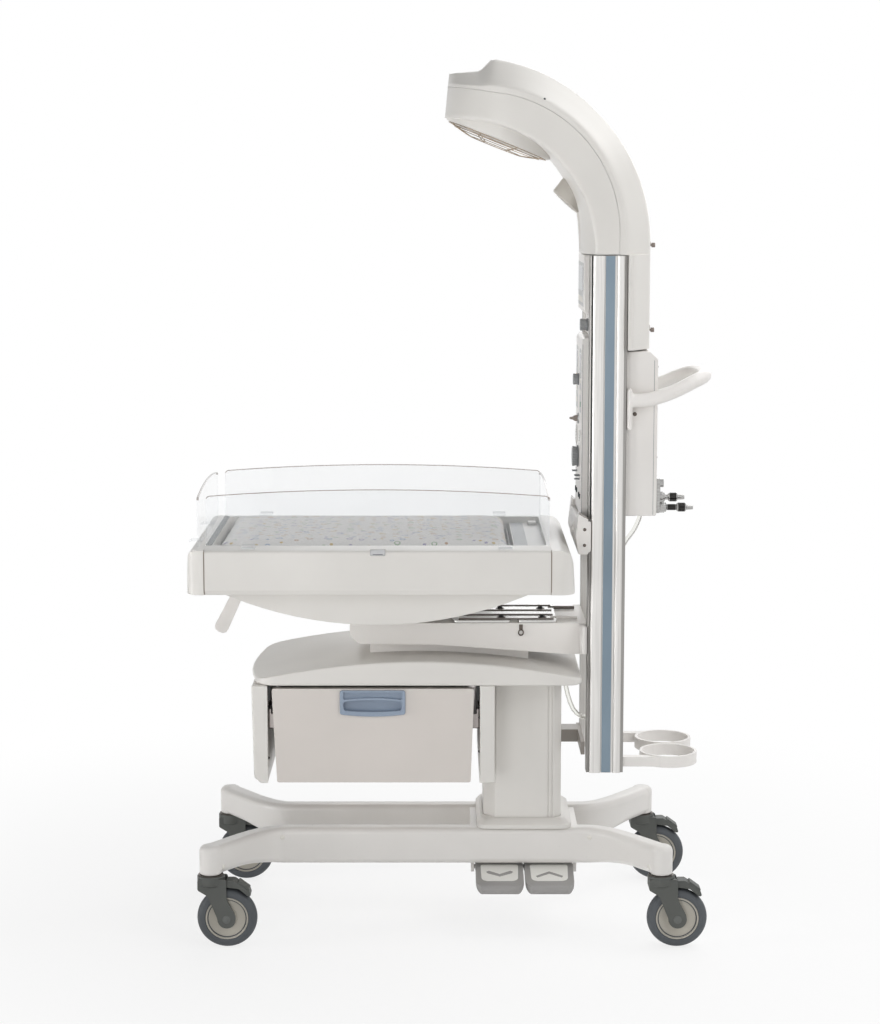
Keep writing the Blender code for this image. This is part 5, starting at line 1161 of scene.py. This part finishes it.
for name, z, r, front, back, flutes in (("knob_upper", 1.298, 0.0139, 0.3002, 0.3176, 14),
                                        ("knob_dial", 1.181, 0.0129, 0.2862, 0.2986, 14),
                                        ("knob_lower", 1.0145, 0.0234, 0.2852, 0.2986, 20)):
    deep = back - front
    skirt = lathe([(0.0, 0.0), (r * 0.96, 0.0), (r, 0.0006), (r, deep * 0.16), (r * 0.95, deep * 0.22),
                   (0.0, deep * 0.22)], (back, 0.0, z), FOOT, 64)
    stand(name + "_skirt", skirt, KNOB_GREY, name, (name,))
    grip = fluted((back, 0.0, z), [(deep * 0.2, r * 0.84, 0.0), (deep * 0.3, r * 0.86, 0.07),
                                   (deep * 0.86, r * 0.93, 0.08), (deep * 0.96, r * 0.9, 0.04),
                                   (deep, r * 0.8, 0.0)], flutes)
    stand(name + "_grip", grip, KNOB_PALE, name)
    stand(name + "_pointer", block((front - 0.0001, front + 0.0016), (-0.0007, 0.0007),
                                   (z + r * 0.3, z + r * 0.86), 0.0003), DIAL_WHITE, name)
dress("toggle_lever", TOGGLE_GREY, 0.0008)
stand("toggle_bushing", lathe([(0.0098, 0.0), (0.0118, 0.0), (0.0118, 0.0018), (0.0112, 0.0026),
                               (0.0098, 0.0026)], (0.2991, 0.0, 1.097), FOOT, 48), SCREW_ZINC, "carriage")

# Lower moulding of the module: softened casting, a dark line along each side that is painted shade of the gap
# there, and the two screws in each side plate
softened("module_foot", LIT_WHITE_ABS, 0.0016, 5)
# Thin dark wire along each side of the moulding: painted shade of the gap there
seam = [[Vector((x, side * 0.1456, z)) for x, z in ((0.2925, 0.9088), (0.304, 0.9018), (0.3125, 0.8975))]
        for side in (-1, 1)]
wires("module_foot_gap_shades", seam, 0.0007, GAP_SHADE_TAUPE, "carriage")
plate = rounded([(0.296, 0.8275, 0.003), (0.3182, 0.8275, 0.003), (0.3182, 0.892, 0.003),
                 (0.293, 0.892, 0.004)], 4)
plates = [slab(plate, *sided(side, 0.144, 0.1464), "Y", 0.0006) for side in (-1, 1)]
stand("module_foot_plates", joined(*plates), LIT_WHITE_ABS, "carriage")
spots = [((0.305, side * 0.1463, z), NEAR if side < 0 else FAR) for side in (-1, 1) for z in (0.8749, 0.8414)]
screws("module_foot_screws", spots, 0.0036, 0.002, SCREW_DARK, "carriage")

# Gas box with its lid line and screws
dress("gas_box", LIT_WHITE_ABS, 0.003)
lid = [Vector((0.4515, y, z)) for y, z in rounded_box((-0.11, 0.11), (0.899, 1.232), 0.004, 4)]
wires("gas_box_seam", [lid + lid[:1]], 0.0005, SEAL_GREY, "carriage")
spots = [((0.459, y, z), HEAD) for y in (-0.098, 0.098) for z in (0.915, 1.023, 1.215)]
spots += [((0.459, y, 1.204), HEAD) for y in (-0.05, 0.05)] + [((0.459, 0.04, z), HEAD) for z in (0.93, 0.96)]
screws("gas_box_screws", spots, 0.003, 0.0018, SCREW_DARK, "carriage")
screws("handle_screws", [((0.411, side * 0.11, 1.116), NEAR if side < 0 else FAR) for side in (-1, 1)],
       0.0044, 0.0022, SCREW_DARK, "carriage")

# Gas inlets: chromed stems with black grip bands and a hexagon nut each
dress("gas_inlets", CHROME_DARKENED_AS_REFLECTION, 0.0004)
NUT_R = 0.0122
bands, nuts = [], []
for y, z, spans in ((-0.066, 0.912, ((0.486, 0.504, 0.0066), (0.509, 0.5235, 0.0097))),
                    (-0.03, 0.929, ((0.494, 0.5085, 0.0097),))):
    for low, high, r in spans:
        bands.append(lathe([(r - 0.002, 0.0), (r - 0.0004, 0.0), (r, 0.0005), (r, high - low - 0.0005),
                            (r - 0.0004, high - low), (r - 0.002, high - low)], (low, y, z), HEAD, 36))
    turns = [math.radians(60.0 * k + 30.0) for k in range(6)]
    hexagon = [(y + NUT_R * math.cos(a), z + NUT_R * math.sin(a)) for a in turns]
    nuts.append(slab(hexagon, 0.47, 0.48, "X", 0.0008))
stand("inlet_bands", joined(*bands), DARK_CHROME, "carriage")
stand("inlet_nuts", joined(*nuts), CHROME_DARKENED_AS_REFLECTION, "carriage")

# Push handle: one smooth moulding with its end plates
softened("push_handle", LIT_WHITE_ABS, 0.0022, 14)


# Drawer: front, moulded pull with two finger pockets, runners, corner clips and wall screws

PULL_X = -0.142


def bowed(half, top, low, rise, sag, corner, steps=12):
    """Outline round the pull: top edge arched by rise, bottom edge bowed down by sag."""
    across = [1.0 - 2.0 * k / steps for k in range(1, steps)]
    shape = [(PULL_X + half, top, corner)]
    shape += [(PULL_X + half * t, top + rise * (1.0 - t * t), 0.0) for t in across]
    shape += [(PULL_X - half, top, corner), (PULL_X - half, low, corner)]
    shape += [(PULL_X - half * t, low - sag * (1.0 - t * t), 0.0) for t in across]
    return rounded(shape + [(PULL_X + half, low, corner)], 5)


mid = PULL_X + SHIFT
front = carved(cad_mesh("drawer"),
               ("UNION", block((mid - 0.075, mid + 0.075), (-0.1958, -0.177), (0.478, 0.543))),
               ("DIFFERENCE", block((mid - 0.0665, mid + 0.0665), (-0.25, -0.1835), (0.4905, 0.5385))))
finished("drawer", settled(front, rounding(0.0012, 2, 40.0)), DRAWER_ABS, 40.0, 0.0)
pull = carved(slab(bowed(0.069, 0.5405, 0.489, 0.0, 0.0045, 0.005), -0.202, -0.1962, "Y", 0.0014, 3),
              ("UNION", slab(bowed(0.0655, 0.5375, 0.4915, 0.0, 0.0, 0.003), -0.199, -0.1845, "Y")),
              ("DIFFERENCE", slab(bowed(0.0615, 0.5365, 0.5205, 0.0, -0.004, 0.002), -0.21, -0.195, "Y")),
              ("DIFFERENCE", slab(bowed(0.0615, 0.5165, 0.4975, 0.004, 0.003, 0.006), -0.21, -0.187, "Y")))
stand("drawer_pull", pull, BLUE_PC, "drawer", ("drawer_handle",), 35.0)

dress("drawer_runner_foot", RUNNER_ZINC, 0.0006)
dress("drawer_runner_head", RUNNER_ZINC, 0.0006)
clips = [block(x, (-0.188, -0.17), (0.516, 0.548), 0.0012) for x in ((-0.364, -0.3575), (0.0765, 0.084))]
stand("drawer_corner_clips", joined(*clips), BLACK_EPDM_AND_GROOVE_SHADE, "carriage")
spots = [((-0.364, -0.185, z), HEAD) for z in (0.503, 0.392)]
spots += [((0.084, -0.185, z), FOOT) for z in (0.503, 0.479, 0.406)]
screws("cabinet_wall_screws", spots, 0.0028, 0.0034, BLACK_EPDM_AND_GROOVE_SHADE, "carriage")

# Cradle: polished plate with raised ribs, four socket screws on washers, dark far guide rod
PLATE_END = 0.2505
cradle = dress("tilt_cradle", PLATE_STEEL, 0.0005)
second(cradle, ROD_DARK, lambda face: face.center.x - SHIFT > PLATE_END and face.center.y > 0.0)
second(cradle, LIT_WHITE_ABS, lambda face: face.center.x - SHIFT > PLATE_END and face.center.y <= 0.0)
ribs = [block((0.04, 0.244), (y - 0.0016, y + 0.0016), (0.6715, 0.6742), 0.0006)
        for y in (-0.084, -0.034, 0.02, 0.078)]
stand("cradle_ribs", joined(*ribs), ROD_DARK, "carriage")
bolts = [(x, y) for x in (0.132, 0.2205) for y in (-0.06, 0.047)]
rings = [lathe([(0.0, 0.0), (0.0092, 0.0), (0.0095, 0.0004), (0.0092, 0.001), (0.0, 0.001)], (x, y, 0.6719),
               steps=36) for x, y in bolts]
stand("cradle_washers", joined(*rings), SCREW_DARK, "carriage")
screws("cradle_screws", [((x, y, 0.6728), UP) for x, y in bolts], 0.0062, 0.004, BLACK_STEEL, "carriage")

# Small cable hook on the near face of the beam
stand("beam_hook_plate", block((0.169, 0.177), (-0.1066, -0.1048), (0.653, 0.664), 0.0006), SCREW_DARK,
      "carriage")
loop = [Vector((0.173 + 0.0052 * math.sin(math.radians(a)), -0.1075,
                0.647 + 0.006 * math.cos(math.radians(a)))) for a in range(0, 361, 24)]
wires("beam_hook", [loop], 0.0014, SCREW_DARK, "carriage")

# Bracket that ties the sleeve to the mast: a bar with an end plate
ties = [block((0.2626, 0.306), (0.028, 0.084), (0.3755, 0.4035), 0.0012),
        block((0.304, 0.3126), (-0.09, 0.096), (0.3753, 0.4037), 0.0012)]
stand("mast_bracket_bar", joined(*ties), BRACKET_TAUPE, "carriage",
      ("mast_foot_bracket",))


# Floor: pale, lit by the studio lamps, and white where no shadow falls

floor_mat, tree, shader, where = finish("pale studio floor, painted", "#FFFFFF", 0.9)
rays = node(tree, "ShaderNodeLightPath")
seen = calc(tree, "MAXIMUM", (rays, "Is Camera Ray"), (rays, "Is Glossy Ray"))
seen = calc(tree, "MAXIMUM", (seen, 0), (rays, "Is Transmission Ray"))
reach = node(tree, "ShaderNodeVectorMath", {0: (where, "Object")}, operation="LENGTH")
fade = between(tree, (reach, "Value"), 0.78, 1.0, 0.6, 2.0, "SMOOTHSTEP")
share = calc(tree, "MULTIPLY", (seen, 0), (fade, 0))
glow = node(tree, "ShaderNodeEmission", {"Color": (1.0, 1.0, 1.0, 1.0), "Strength": 1.0})
mixed = node(tree, "ShaderNodeMixShader", {0: (share, 0), 1: (shader, 0), 2: (glow, 0)})
tree.links.new(mixed.outputs[0], tree.nodes["Material Output"].inputs["Surface"])
FLOOR_HALF = 14.0
floor_mesh = solid([(-FLOOR_HALF, -FLOOR_HALF, 0.0), (FLOOR_HALF, -FLOOR_HALF, 0.0),
                    (FLOOR_HALF, FLOOR_HALF, 0.0), (-FLOOR_HALF, FLOOR_HALF, 0.0)], [(0, 1, 2, 3)])
floor_mesh.materials.append(floor_mat)
floor = placed("floor", floor_mesh)
